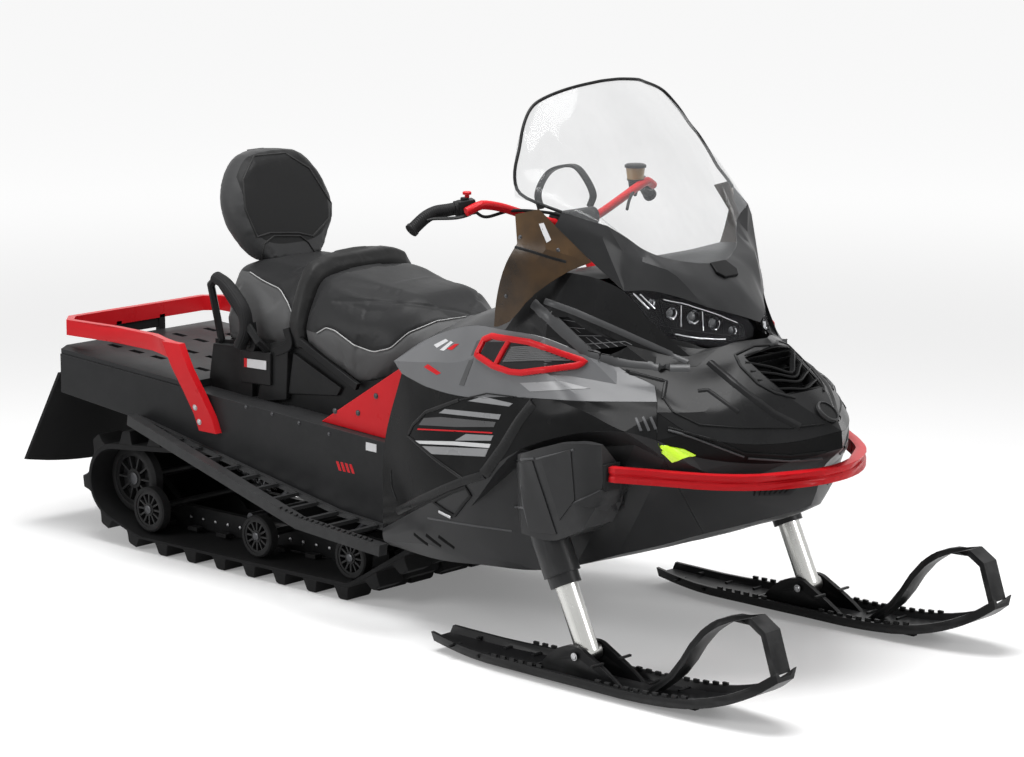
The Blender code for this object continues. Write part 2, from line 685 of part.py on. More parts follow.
def make_rail():
    """Red carrying rail: a flat bar around the deck on two broad legs."""
    mid = RAIL_TOP - RAIL_HEIGHT / 2.0
    half = RAIL_HALF - RAIL_DEPTH / 2.0
    rear = RAIL_REAR_X + RAIL_DEPTH / 2.0
    corner = RAIL_DEPTH * 2.0
    path = [
        (RAIL_BEND_X, -half - RAIL_FLARE, mid), (RAIL_BEND_X - 3.0 * corner, -half, mid),
        (rear + corner, -half, mid), (rear, -half + corner, mid),
        (rear, half - corner, mid), (rear + corner, half, mid),
        (RAIL_BEND_X - 3.0 * corner, half, mid), (RAIL_BEND_X, half + RAIL_FLARE, mid),
    ]
    profile = [(-RAIL_DEPTH / 2.0, -RAIL_HEIGHT / 2.0), (RAIL_DEPTH / 2.0, -RAIL_HEIGHT / 2.0),
               (RAIL_DEPTH / 2.0, RAIL_HEIGHT / 2.0), (-RAIL_DEPTH / 2.0, RAIL_HEIGHT / 2.0)]
    parts = [sweep(path, profile)]
    for side in (RIGHT, LEFT):
        rings = []
        rows = (
            (RAIL_BEND_X, half + RAIL_FLARE, RAIL_TOP),
            (RAIL_BEND_X + LEG_LEAN, LEG_Y + RAIL_DEPTH, mid - RAIL_HEIGHT),
            (LEG_FOOT_X, LEG_Y, LEG_FOOT_Z + RAIL_HEIGHT), (LEG_FOOT_X + LEG_LEAN / 2.0, LEG_Y, LEG_FOOT_Z),
        )
        for x, y, z in rows:
            a, b = side * (y - RAIL_DEPTH / 2.0), side * (y + RAIL_DEPTH / 2.0)
            ring = [(x - LEG_WIDTH / 2.0, a, z), (x + LEG_WIDTH / 2.0, a, z),
                    (x + LEG_WIDTH / 2.0, b, z), (x - LEG_WIDTH / 2.0, b, z)]
            rings.append(ring)
        parts.append(loft(rings))
    add_piece("rear_rail", fuse(parts), "red_paint")


def make_board(side):
    """Open running board: a slanting edge bar, an inner bar and cross rungs."""
    name = "running_board_right" if side == RIGHT else "running_board_left"
    inner_y = TUNNEL_HALF + SEAT_GAP
    edge = [(BOARD_REAR_X, side * BOARD_REAR_Y, BOARD_REAR_Z),
            (BOARD_BEND_X, side * (BOARD_HALF - BOARD_RAIL / 2.0), BOARD_BEND_Z),
            (BOARD_FRONT_X, side * (BOARD_HALF - BOARD_RAIL / 2.0), BOARD_FRONT_Z)]
    profile = [(-BOARD_RAIL / 2.0, -BOARD_RAIL / 2.0), (BOARD_RAIL / 2.0, -BOARD_RAIL / 2.0),
               (BOARD_RAIL / 2.0, BOARD_RAIL / 2.0), (-BOARD_RAIL / 2.0, BOARD_RAIL / 2.0)]
    share = (BOARD_INNER_X - BOARD_BEND_X) / (BOARD_FRONT_X - BOARD_BEND_X)
    inner_z = BOARD_BEND_Z + share * (BOARD_FRONT_Z - BOARD_BEND_Z)
    inner = [(x, side * (inner_y + RUNG_WIDTH / 2.0), z) for x, _, z in edge[:2]]
    inner.append((BOARD_INNER_X, inner[0][1], inner_z))
    slim = [(a * RUNG_WIDTH / BOARD_RAIL, b * RUNG_WIDTH / BOARD_RAIL) for a, b in profile]
    parts = [sweep(edge, profile), sweep(inner, slim)]
    span = BOARD_INNER_X - BOARD_REAR_X
    for k in range(BOARD_RUNGS):
        x = BOARD_REAR_X + span * (k + 1.5) / (BOARD_RUNGS + 0.8)
        if x < BOARD_BEND_X:
            share = (x - BOARD_REAR_X) / (BOARD_BEND_X - BOARD_REAR_X)
            y = BOARD_REAR_Y + share * (BOARD_HALF - BOARD_RAIL / 2.0 - BOARD_REAR_Y)
            z = BOARD_REAR_Z + share * (BOARD_BEND_Z - BOARD_REAR_Z)
        else:
            share = (x - BOARD_BEND_X) / (BOARD_FRONT_X - BOARD_BEND_X)
            y = BOARD_HALF - BOARD_RAIL / 2.0
            z = BOARD_BEND_Z + share * (BOARD_FRONT_Z - BOARD_BEND_Z)
        low_y, high_y = sorted((side * (inner_y + RUNG_WIDTH / 3.0), side * y))
        parts.append(block((x - RUNG_WIDTH / 2.0, low_y, z - RUNG_WIDTH / 3.0),
                           (x + RUNG_WIDTH / 2.0, high_y, z + RUNG_WIDTH / 3.0)))
    add_piece(name, fuse(parts), "dark_metal")


# Body skin: character lines shared by neighbouring panels. Each place is a share of the body's
# length, half width and height; lines run from the rear forward, or from the side to the middle.

def body_point(x_share, y_share, z_share):
    """Place on the right side of the body."""
    return (BODY_REAR_X + x_share * BODY_LENGTH, -y_share * BODY_HALF, BODY_LOW + z_share * BODY_HEIGHT)


BELLY_REAR_SHARE = (TUNNEL_FRONT_X + SEAT_GAP - BODY_REAR_X) / BODY_LENGTH
SCREEN_TOP_SHARES = ((0.368, 0.575, 1.486), (0.370, 0.520, 1.498), (0.374, 0.450, 1.510),
                     (0.379, 0.370, 1.521),
                     (0.393, 0.270, 1.534), (0.397, 0.161, 1.540), (0.399, 0.060, 1.544),
                     (0.400, 0.000, 1.544))
SCREEN_HIGH_SHARES = ((0.378, 0.705, 1.420), (0.390, 0.640, 1.422), (0.413, 0.585, 1.428),
                      (0.430, 0.486, 1.432),
                      (0.450, 0.331, 1.436), (0.461, 0.197, 1.438), (0.466, 0.075, 1.439),
                      (0.467, 0.000, 1.440))
SCREEN_MID_SHARES = ((0.401, 0.840, 1.310), (0.424, 0.780, 1.311), (0.450, 0.686, 1.313),
                     (0.475, 0.590, 1.315),
                     (0.502, 0.400, 1.316), (0.517, 0.240, 1.317), (0.524, 0.090, 1.318),
                     (0.525, 0.000, 1.318))
SCREEN_WIDE_SHARES = ((0.429, 0.922, 1.222), (0.453, 0.850, 1.240), (0.482, 0.741, 1.228),
                      (0.509, 0.629, 1.210),
                      (0.555, 0.460, 1.186), (0.574, 0.280, 1.180), (0.583, 0.100, 1.176),
                      (0.585, 0.000, 1.175))
COWL_TOP_SHARES = ((0.508, 0.772, 1.176), (0.587, 0.633, 1.137), (0.597, 0.493, 1.092),
                   (0.617, 0.424, 1.057),
                   (0.644, 0.330, 1.029), (0.664, 0.219, 1.013), (0.685, 0.080, 1.002),
                   (0.687, 0.000, 1.000))
COWL_MID_SHARES = ((0.505, 0.794, 1.154), (0.586, 0.674, 1.100), (0.607, 0.561, 1.052),
                   (0.634, 0.487, 1.024),
                   (0.674, 0.399, 0.999), (0.702, 0.255, 0.966), (0.742, 0.089, 0.929),
                   (0.752, 0.000, 0.925))
COWL_LOW_SHARES = ((0.500, 0.810, 1.134), (0.568, 0.704, 1.025), (0.626, 0.616, 0.938),
                   (0.660, 0.505, 0.938),
                   (0.701, 0.378, 0.915), (0.740, 0.242, 0.881), (0.789, 0.079, 0.847),
                   (0.800, 0.000, 0.830))
SHOULDER_TOP_SHARES = ((0.470, 0.785, 0.985), (0.540, 0.785, 0.992), (0.587, 0.705, 0.976)) + (
    COWL_LOW_SHARES[2], (0.658, 0.540, 0.864), (0.684, 0.472, 0.795), (0.722, 0.355, 0.776))
SHOULDER_MID_SHARES = ((0.425, 0.880, 0.862), (0.512, 0.885, 0.872), (0.586, 0.794, 0.838),
                       (0.630, 0.647, 0.781),
                       (0.681, 0.507, 0.751), (0.737, 0.408, 0.741), (0.750, 0.302, 0.760))
SHOULDER_LOW_SHARES = ((0.395, 0.898, 0.797), (0.512, 0.920, 0.794), (0.582, 0.839, 0.757),
                       (0.636, 0.707, 0.714),
                       (0.697, 0.578, 0.709), (0.758, 0.418, 0.715), (0.770, 0.237, 0.766))
LAMP_TOP_SHARES = COWL_LOW_SHARES[2:7]
LAMP_MID_SHARES = ((0.648, 0.574, 0.893), (0.675, 0.471, 0.861), (0.711, 0.337, 0.841),
                   (0.754, 0.208, 0.820),
                   (0.804, 0.067, 0.817))
LAMP_LOW_SHARES = SHOULDER_TOP_SHARES[4:] + (SHOULDER_LOW_SHARES[6], (0.804, 0.078, 0.792))
HOOD_TOP_SHARES = SHOULDER_LOW_SHARES[3:] + ((0.818, 0.000, 0.785),)
HOOD_HIGH_SHARES = ((0.718, 0.650, 0.664), (0.768, 0.533, 0.658), (0.813, 0.384, 0.670),
                    (0.820, 0.207, 0.738),
                    (0.836, 0.000, 0.764))
HOOD_LOW_SHARES = ((0.739, 0.700, 0.622), (0.803, 0.630, 0.597), (0.855, 0.478, 0.604),
                   (0.916, 0.169, 0.637),
                   (0.926, 0.000, 0.640))
HOOD_EDGE_SHARES = ((0.756, 0.758, 0.598), (0.821, 0.681, 0.538), (0.890, 0.519, 0.509),
                    (0.951, 0.261, 0.504),
                    (1.009, 0.000, 0.530))
LIP_SHARES = ((0.778, 0.830, 0.522), (0.819, 0.670, 0.469), (0.884, 0.496, 0.447), (0.951, 0.260, 0.443),
              (1.012, 0.000, 0.478))
SIDE_TOP_SHARES = ((0.070, 0.770, 0.657), (0.173, 0.784, 0.738), (0.277, 0.820, 0.785)) + (
    SHOULDER_LOW_SHARES[:4] + HOOD_HIGH_SHARES[:1])
SIDE_MID_SHARES = ((0.050, 0.820, 0.627), (0.192, 0.909, 0.657), (0.297, 0.932, 0.685),
                   (0.413, 0.954, 0.694),
                   (0.526, 0.966, 0.694), (0.598, 0.892, 0.684), (0.658, 0.780, 0.667),
                   (0.728, 0.672, 0.642))
SIDE_LOW_SHARES = ((0.080, 0.841, 0.594), (0.194, 0.932, 0.575), (0.309, 0.977, 0.573),
                   (0.442, 1.000, 0.601),
                   (0.550, 1.000, 0.616), (0.633, 0.966, 0.624), (0.685, 0.839, 0.623)) + HOOD_LOW_SHARES[:1]
SHROUD_MID_SHARES = ((0.029, 0.841, 0.362), (0.158, 0.954, 0.400), (0.312, 1.011, 0.438),
                     (0.440, 1.034, 0.499),
                     (0.555, 1.034, 0.561), (0.644, 1.003, 0.596),
                     (0.698, 0.882, 0.597)) + HOOD_EDGE_SHARES[:1]
SHROUD_LOW_SHARES = ((0.013, 0.818, 0.060), (0.171, 0.954, 0.179), (0.333, 1.023, 0.301),
                     (0.480, 1.034, 0.445),
                     (0.574, 1.034, 0.502), (0.660, 1.011, 0.537), (0.733, 0.954, 0.549)) + LIP_SHARES[:1]
TUCK_SHARES = ((0.016, 0.830, 0.040), (0.176, 0.950, 0.120), (0.330, 0.990, 0.225), (0.475, 0.865, 0.410),
               (0.570, 0.865, 0.445), (0.660, 0.865, 0.480), (0.730, 0.860, 0.500), (0.786, 0.790, 0.460),
               (0.840, 0.645, 0.425), (0.895, 0.460, 0.400), (0.928, 0.245, 0.392), (0.960, 0.000, 0.392))
BULGE_SHARES = ((0.020, 0.830, 0.020), (0.190, 0.930, 0.060), (0.330, 0.940, 0.120), (0.470, 0.858, 0.200),
                (0.565, 0.861, 0.250), (0.655, 0.852, 0.290), (0.735, 0.790, 0.315), (0.795, 0.660, 0.340),
                (0.850, 0.500, 0.320), (0.900, 0.350, 0.320), (0.927, 0.185, 0.322), (0.950, 0.000, 0.330))
KEEL_EDGE_SHARES = ((0.030, 0.800, 0.004), (BELLY_REAR_SHARE, 0.850, 0.002), (0.330, 0.860, 0.020),
                    (0.460, 0.830, 0.035), (0.555, 0.790, 0.070), (0.645, 0.715, 0.120),
                    (0.725, 0.600, 0.160),
                    (0.795, 0.470, 0.200), (0.850, 0.350, 0.228), (0.895, 0.240, 0.252),
                    (0.922, 0.125, 0.268),
                    (0.936, 0.000, 0.280))
KEEL_SHARES = ((BELLY_REAR_SHARE, 0.000, 0.000), (0.330, 0.000, 0.008), (0.460, 0.000, 0.025),
               (0.555, 0.000, 0.055), (0.645, 0.000, 0.098), (0.725, 0.000, 0.140), (0.795, 0.000, 0.182),
               (0.850, 0.000, 0.212), (0.895, 0.000, 0.240), (0.922, 0.000, 0.262), (0.936, 0.000, 0.280))
TANK_SHARES = (
    (SIDE_TOP_SHARES[0], (0.058, 0.450, 0.700), (0.050, 0.000, 0.722)),
    (SIDE_TOP_SHARES[1], (0.168, 0.450, 0.776), (0.165, 0.000, 0.800)),
    (SIDE_TOP_SHARES[2], (0.270, 0.470, 0.830), (0.265, 0.000, 0.855)),
    (SIDE_TOP_SHARES[3], (0.350, 0.480, 0.855), (0.325, 0.000, 0.878)),
)
DASH_SHARES = (
    TANK_SHARES[3],
    (SHOULDER_MID_SHARES[0], (0.425, 0.480, 0.930), (0.422, 0.000, 0.955)),
    (SHOULDER_TOP_SHARES[0], (0.490, 0.450, 0.985), (0.500, 0.000, 0.985)),
    (SHOULDER_TOP_SHARES[1], (0.550, 0.430, 0.990), (0.560, 0.000, 0.975)),
    (SHOULDER_TOP_SHARES[2], (0.620, 0.390, 0.975), (0.640, 0.000, 0.955)),
)
DEFLECTOR_SHARES = (
    ((0.421, 0.895, 1.164), (0.472, 0.850, 1.185), COWL_LOW_SHARES[0]),
    ((0.446, 0.955, 1.081), (0.510, 0.910, 1.070), COWL_LOW_SHARES[1]),
    ((0.427, 0.985, 1.021), (0.480, 0.950, 1.010), (0.541, 0.819, 0.998)),
    ((0.399, 0.985, 0.898), (0.436, 0.972, 0.905), (0.490, 0.935, 0.930)),
    ((0.386, 0.965, 0.809), (0.397, 0.958, 0.812), (0.412, 0.945, 0.825)),
)
GRILLE_CELL = (HOOD_HIGH_SHARES[3], HOOD_LOW_SHARES[3], HOOD_LOW_SHARES[4], HOOD_HIGH_SHARES[4])
# name, finish, whether both halves are one piece, wall, then one or two grids of lines
SKIN_PANELS = (
    ("windshield", "screen", True, "SCREEN",
     ((SCREEN_TOP_SHARES, SCREEN_HIGH_SHARES, SCREEN_MID_SHARES, SCREEN_WIDE_SHARES, COWL_TOP_SHARES),)),
    ("cowl", "dark_plastic", True, "THIN", ((COWL_TOP_SHARES, COWL_MID_SHARES, COWL_LOW_SHARES),)),
    ("shoulder", "dark_plastic", False, "PANEL",
     ((SHOULDER_TOP_SHARES, SHOULDER_MID_SHARES, SHOULDER_LOW_SHARES),)),
    ("headlight", "lamp_glass", False, "LAMP", ((LAMP_TOP_SHARES, LAMP_MID_SHARES, LAMP_LOW_SHARES),)),
    ("hood", "black_plastic", True, "PANEL",
     ((HOOD_TOP_SHARES, HOOD_HIGH_SHARES, HOOD_LOW_SHARES, HOOD_EDGE_SHARES),)),
    ("front_lip", "black_plastic", True, "PANEL", ((HOOD_EDGE_SHARES, LIP_SHARES),)),
    ("side_panel", "grey_plastic", False, "SCREEN", ((SIDE_TOP_SHARES, SIDE_MID_SHARES, SIDE_LOW_SHARES),)),
    ("shroud", "black_plastic", False, "PANEL",
     ((SIDE_LOW_SHARES, SHROUD_MID_SHARES, SHROUD_LOW_SHARES),)),
    ("lower_side", "dark_plastic", False, "SCREEN",
     ((SHROUD_LOW_SHARES, TUCK_SHARES[:8], BULGE_SHARES[:8], KEEL_EDGE_SHARES[:8]),)),
    ("belly_pan", "dark_plastic", True, "PANEL",
     ((LIP_SHARES, TUCK_SHARES[7:], BULGE_SHARES[7:], KEEL_EDGE_SHARES[7:]),
      (KEEL_EDGE_SHARES[1:], KEEL_SHARES))),
    ("tank_cover", "black_plastic", True, "PANEL", (TANK_SHARES,)),
    ("dash", "black_plastic", True, "PANEL", (DASH_SHARES,)),
    ("deflector", "amber_screen", False, "THIN", (DEFLECTOR_SHARES,)),
)
WALLS = {"PANEL": PANEL_WALL, "THIN": THIN_WALL, "SCREEN": SCREEN_WALL, "LAMP": LAMP_DEPTH}


def skin_faces(grids):
    """Corners of each face of a panel, without the grille's opening; double corners are dropped."""
    faces = []
    for rows in grids:
        for upper, lower in zip(rows, rows[1:]):
            for i in range(len(upper) - 1):
                corners = (upper[i], lower[i], lower[i + 1], upper[i + 1])
                if corners != GRILLE_CELL:
                    faces.append([c for k, c in enumerate(corners) if c not in corners[:k]])
    return faces


def split_face(face):
    """Triangles of a face, along the diagonal that stands out further; both walls are split alike."""
    if len(face) == 3:
        return [face]
    a, b, c, d = (Vector(body_point(*corner)) for corner in face)
    if (a + c - b - d).dot((c - a).cross(d - b)) >= 0.0:
        return [(face[0], face[1], face[2]), (face[0], face[2], face[3])]
    return [(face[1], face[2], face[3]), (face[1], face[3], face[0])]


def skin_normals():
    """Outward direction at each place of the skin, averaged over every panel that meets there."""
    total = {}
    for _, _, _, _, grids in SKIN_PANELS:
        for face in skin_faces(grids):
            points = [Vector(body_point(*corner)) for corner in face]
            normal = Vector()
            for a, b in zip(points, points[1:] + points[:1]):
                normal += a.cross(b)
            for corner in face:
                total[corner] = total.get(corner, Vector()) + normal
    for corner, normal in total.items():
        if corner[1] == 0.0:
            normal.y = 0.0
        normal.normalize()
    return total


def seam_shifts(faces, whole):
    """How far each edge corner of a panel steps back, so that a seam stays open beside it."""
    owners = {}
    for face in faces:
        for a, b in zip(face, face[1:] + face[:1]):
            owners.setdefault(frozenset((a, b)), []).append((a, b, face))
    pulls, rim = {}, []
    for found in owners.values():
        a, b, face = found[0]
        if len(found) > 1 or (whole and a[1] == 0.0 and b[1] == 0.0):
            continue
        rim.append((a, b))
        start, end = Vector(body_point(*a)), Vector(body_point(*b))
        centre = sum((Vector(body_point(*c)) for c in face), Vector()) / len(face)
        along = (end - start).normalized()
        inward = centre - start
        inward = (inward - along * inward.dot(along)).normalized()
        for corner in (a, b):
            pulls.setdefault(corner, []).append(inward)
            if whole and corner[1] == 0.0:
                pulls[corner].append(Vector((inward.x, -inward.y, inward.z)))
    shifts = {}
    for corner, found in pulls.items():
        first, second = found[0], found[-1]
        shifts[corner] = (first + second) * (SEAM / 2.0 / max(0.4, 1.0 + first.dot(second)))
    return shifts, rim


def make_skin_panel(grids, whole, wall, normals):
    """Outer faces, inner faces a wall further in, and a rim between them."""
    faces = skin_faces(grids)
    shifts, rim = seam_shifts(faces, whole)
    shape = bmesh.new()
    outer, inner = {}, {}

    def corner_verts(corner, side):
        key = (corner, side if corner[1] != 0.0 else RIGHT)
        if key not in outer:
            place = Vector(body_point(*corner)) + shifts.get(corner, Vector())
            deep = place - normals[corner] * wall
            flip = Vector((1.0, -side, 1.0))
            outer[key] = shape.verts.new(place * flip)
            inner[key] = shape.verts.new(deep * flip)
        return outer[key], inner[key]
    for side in ((RIGHT, LEFT) if whole else (RIGHT,)):
        for face in faces:
            for triangle in split_face(face):
                pairs = [corner_verts(corner, side) for corner in triangle]
                shape.faces.new([pair[0] for pair in pairs])
                shape.faces.new([pair[1] for pair in pairs[::-1]])
        for a, b in rim:
            first, second = corner_verts(a, side), corner_verts(b, side)
            shape.faces.new((first[0], second[0], second[1], first[1]))
    return shape


def skin_cutters(name):
    """Shapes that open a panel: the mesh window of a shoulder, the steering column's hole."""
    if name == "shoulder":
        outline = [body_point(x, 0.0, z)[::2] for x, z in MESH_HOLE_SHARES]
        return [prism(outline, "Y", -BODY_HALF * 1.2, -BODY_HALF * 0.6)]
    if name == "dash":
        return [rod(column_point(-COLUMN_LENGTH), column_point(0.0), COLUMN_RADIUS + COLUMN_PLAY)]
    return []


def make_skin():
    normals = skin_normals()
    for name, finish, whole, kind, grids in SKIN_PANELS:
        shape = make_skin_panel(grids, whole, WALLS[kind], normals)
        holes = skin_cutters(name)
        if holes:
            shape = cut(shape, holes)
        if whole:
            add_piece(name, shape, finish)
            continue
        other = mirrored(shape)
        add_piece(name + "_right", shape, finish)
        add_piece(name + "_left", other, finish)


# Grille and vents

MESH_HOLE_SHARES = ((0.516, 0.858), (0.548, 0.860), (0.641, 0.770), (0.622, 0.746), (0.576, 0.772))
GRILLE_DEPTH_SHARE = 0.045
SLAT_COUNT = 4


def make_nose_grille():
    """Tub below the hood's opening, with blades across it."""
    normals = skin_normals()
    corners = [corner for corner in GRILLE_CELL if corner[1] != 0.0]
    places = [Vector(body_point(*corner)) for corner in corners]
    downs = [-normals[corner] for corner in corners]
    floor = GRILLE_DEPTH_SHARE * BODY_HEIGHT

    def ring(depth, inset):
        right = [place + down * depth for place, down in zip(places, downs)]
        right[0] += Vector((inset, inset, -inset))
        right[1] += Vector((-inset, inset, inset))
        return right + [Vector((v.x, -v.y, v.z)) for v in right[::-1]]
    top = PANEL_WALL + SEAT_GAP
    tub = loft([ring(floor - SLAT_WALL, SLAT_WALL), ring(top, SLAT_WALL), ring(top, 0.0), ring(floor, 0.0)])
    parts = [tub]
    low_rear, low_front = ring(floor - SLAT_WALL / 2.0, SLAT_WALL / 2.0)[:2]
    high_rear, high_front = ring(top * 1.5, SLAT_WALL / 2.0)[:2]
    for k in range(SLAT_COUNT):
        share = (k + 0.5) / SLAT_COUNT
        low, high = low_rear.lerp(low_front, share), high_rear.lerp(high_front, share)
        across = min(-low.y, -high.y)
        wall = Vector((SLAT_WALL, 0.0, 0.0))
        rings = [[(p.x, y, p.z) for p in (low, low + wall, high + wall, high)] for y in (-across, across)]
        parts.append(loft(rings))
    add_piece("nose_grille", fuse(parts), "black_plastic")


VENT_RING_SHARES = (
    ((0.398, 0.692), (0.414, 0.763), (0.490, 0.756), (0.515, 0.752), (0.552, 0.742), (0.587, 0.731),
     (0.522, 0.700), (0.435, 0.674)),
    ((0.338, 0.706), (0.359, 0.763), (0.405, 0.765), (0.391, 0.690), (0.345, 0.692)),
)
VENT_FACING = (0.22, -1.0, 0.25)
LOUVRE_COUNT = 4
LOUVRE_STEPS = (0.0, 0.42, 0.78, 1.0)


def side_half_share(x_share, z_share):
    """Half width of the side panel at a place along the body and a height, by its outermost face."""
    here = Vector((x_share, z_share))
    halves = []
    for face in skin_faces(((SIDE_TOP_SHARES, SIDE_MID_SHARES, SIDE_LOW_SHARES),)):
        for skip in range(4):
            a, b, c = (face[(skip + k) % 4] for k in (1, 2, 3))
            u, v, w = (Vector((t[0], t[2])) for t in (a, b, c))
            area = (v - u).cross(w - u)
            first = (v - here).cross(w - here) / area
            second = (w - here).cross(u - here) / area
            third = 1.0 - first - second
            if min(first, second, third) >= 0.0:
                halves.append(first * a[1] + second * b[1] + third * c[1])
    return max(halves)


def vent_place(x_share, z_share, out):
    """Place at a distance outside the side panel."""
    x, y, z = body_point(x_share, side_half_share(x_share, z_share), z_share)
    return (x, y - VENT_STAND - out, z)


def make_vent_frames():
    """Red frame around a louvred and an open window on each side panel."""
    a, b = VENT_WIDTH / 2.0, VENT_WALL / 2.0
    profile = [(-a, -b), (a, -b), (a, b), (-a, b)]
    out = VENT_FACING
    parts = [sweep([vent_place(x, z, b) for x, z in ring], profile, out,
                   closed=True) for ring in VENT_RING_SHARES]
    rear, upper, _, _, _, front, low = VENT_RING_SHARES[0][:7]
    slim = [(u * LOUVRE_SHARE, v * LOUVRE_SHARE) for u, v in profile]
    for k in range(LOUVRE_COUNT):
        share = (k + 1.0) / (LOUVRE_COUNT + 1.0)
        start = (rear[0] + (upper[0] - rear[0]) * share, rear[1] + (upper[1] - rear[1]) * share)
        end = (low[0] + (front[0] - low[0]) * share, low[1] + (front[1] - low[1]) * share)
        row = [(start[0] + (end[0] - start[0]) * t,
                start[1] + (end[1] - start[1]) * t) for t in LOUVRE_STEPS]
        parts.append(sweep([vent_place(*place, b) for place in row], slim, out))
    shape = fuse(parts)
    other = mirrored(shape)
    add_piece("vent_frame_right", shape, "red_paint")
    add_piece("vent_frame_left", other, "red_paint")


def make_engine():
    rear = TUNNEL_FRONT_X + SEAT_GAP
    add_piece("engine", block((rear, -ENGINE_WIDTH / 2.0, ENGINE_Z - ENGINE_HEIGHT / 2.0),
                              (rear + ENGINE_LENGTH, ENGINE_WIDTH / 2.0, ENGINE_Z + ENGINE_HEIGHT / 2.0)),
              "dark_metal")


BUMPER_SHARES = ((0.706, 1.005, 0.420), (0.727, 1.005, 0.420), (0.783, 0.838, 0.408), (0.876, 0.640, 0.398),
                 (0.930, 0.490, 0.396), (0.992, 0.120, 0.396))


def make_bumper():
    """Ribbed red tube around the nose, from the front of one tower to the other."""
    right = [Vector(body_point(*place)) for place in BUMPER_SHARES]
    right[0].x += SEAT_GAP
    path = right + [(x, -y, z) for x, y, z in right[::-1]]
    a, b = BUMPER_DEPTH / 2.0, BUMPER_HEIGHT / 2.0
    profile = [(-a, -b), (0.0, -b * 1.1), (a, -b), (a, -b / 3.0), (a * 0.7, 0.0), (a, b / 3.0), (a, b),
               (0.0, b * 1.1), (-a, b)]
    add_piece("front_bumper", sweep(path, profile), "red_paint")


BASE_SHARES = ((0.00, 0.170), (0.425, 0.210), (0.500, 0.177), (0.671, 0.0), (0.742, 0.023), (0.937, 0.193),
               (1.00, 0.240))
PASSENGER_SHARES = (
    # place along the seat, height of its top, half width at the top and at the sides
    (0.005, 0.82, 0.60, 0.82), (0.030, 0.883, 0.66, 0.86), (0.130, 0.883, 0.68, 0.88),
    (0.250, 0.860, 0.68, 0.90),
    (0.320, 0.920, 0.66, 0.90), (0.355, 0.973, 0.60, 0.86),
)
ARCH_SHARES = ((0.357, 0.960, 0.62, 0.93), (0.375, 1.040, 0.70, 0.98), (0.415, 1.020, 0.72, 1.00),
               (0.433, 0.930, 0.66, 0.96))
DRIVER_SHARES = (
    (0.435, 0.900, 0.68, 0.94), (0.500, 0.880, 0.74, 1.00), (0.662, 0.803, 0.68, 0.96),
    (0.812, 0.750, 0.58, 0.86),
    (0.875, 0.650, 0.50, 0.76), (0.937, 0.567, 0.42, 0.64), (0.985, 0.530, 0.34, 0.54),
)


def seat_place(along, up):
    return SEAT_REAR_X + along * SEAT_LENGTH, SEAT_LOW + up * SEAT_HEIGHT


def base_share(along):
    """Height share of the seat base's top at a place along the seat."""
    return float(np.interp(along, [row[0] for row in BASE_SHARES], [row[1] for row in BASE_SHARES]))


def make_cushion(name, rows, finish):
    """Rounded block that stands on the seat base; extra rows follow each bend of the base."""
    bends = [row[0] for row in BASE_SHARES if rows[0][0] < row[0] < rows[-1][0]]
    stations = sorted({row[0] for row in rows} | set(bends))
    columns = list(zip(*rows))
    rings = []
    for along in stations:
        top, upper, lower = (float(np.interp(along, columns[0], column)) for column in columns[1:])
        x, z = seat_place(along, top)
        low = seat_place(along, base_share(along))[1] + SEAT_GAP
        rise, a, b = z - low, upper * SEAT_HALF, lower * SEAT_HALF
        half = [(b * 0.94, 0.0), (b, 0.30), ((a + b) / 2.0, 0.72), (a, 0.92), (a * 0.62, 1.0)]
        rings.append([(x, y, low + h * rise) for y, h in half] + [(x, -y, low + h * rise) for y,
                                                                  h in half[::-1]])
    add_piece(name, loft(rings), finish)


def make_seats():
    make_cushion("passenger_seat", PASSENGER_SHARES, "seat_vinyl")
    make_cushion("seat_arch", ARCH_SHARES, "black_plastic")
    make_cushion("driver_seat", DRIVER_SHARES, "seat_vinyl")


def make_backrest():
    """Padded rest that stands on the rear of the passenger seat."""
    outline = [(-0.55, 0.0), (0.55, 0.0), (0.95, 0.30), (1.0, 0.55), (0.85, 0.80), (0.50, 1.0),
               (-0.50, 1.0), (-0.85, 0.80), (-1.0, 0.55), (-0.95, 0.30)]
    foot = seat_place(0.0, PASSENGER_SHARES[1][1])[1] + SEAT_GAP
    rings = []
    for depth, grow in ((0.0, 0.94), (0.3, 1.0), (0.7, 1.0), (1.0, 0.90)):
        ring = []
        for y, h in outline:
            up = max(0.0, 0.5 + (h - 0.5) * grow) if h > 0.0 else 0.0
            ring.append((BACK_X - BACK_LEAN * up + (depth - 1.0) * BACK_WALL,
                         y * grow * BACK_HALF, foot + BACK_HEIGHT * up))
        rings.append(ring)
    add_piece("backrest", loft(rings), "seat_vinyl")


HANDLE_SHARES = ((0.270, 0.080, 0.82), (0.250, 0.240, 1.0), (0.045, 0.780, 1.0), (0.006, 0.700, 0.98),
                 (0.004, 0.100, 0.82))


def make_seat_base():
    """Box below both seats, with a grab loop on each side."""
    rear = DECK_FRONT_X + SEAT_GAP
    (first, low), (second, high) = BASE_SHARES[:2]
    along = (rear - SEAT_REAR_X) / SEAT_LENGTH
    start = seat_place(along, low + (along - first) * (high - low) / (second - first))
    rows = [start] + [seat_place(*row) for row in BASE_SHARES[1:-1]]
    rings = [[(x, -BASE_HALF, tunnel_top(x) + SEAT_GAP), (x, BASE_HALF, tunnel_top(x) + SEAT_GAP),
              (x, BASE_HALF, z), (x, -BASE_HALF, z)] for x, z in rows]
    parts = [loft(rings)]
    for side in (RIGHT, LEFT):
        path = []
        for along, up, out in HANDLE_SHARES:
            x, z = seat_place(along, up)
            path.append((x, side * out * HANDLE_HALF, z))
        parts.append(sweep(path, circle(HANDLE_RADIUS, 8, math.pi / 8.0), (0.0, 1.0, 0.0)))
    add_piece("seat_base", fuse(parts), "black_plastic")


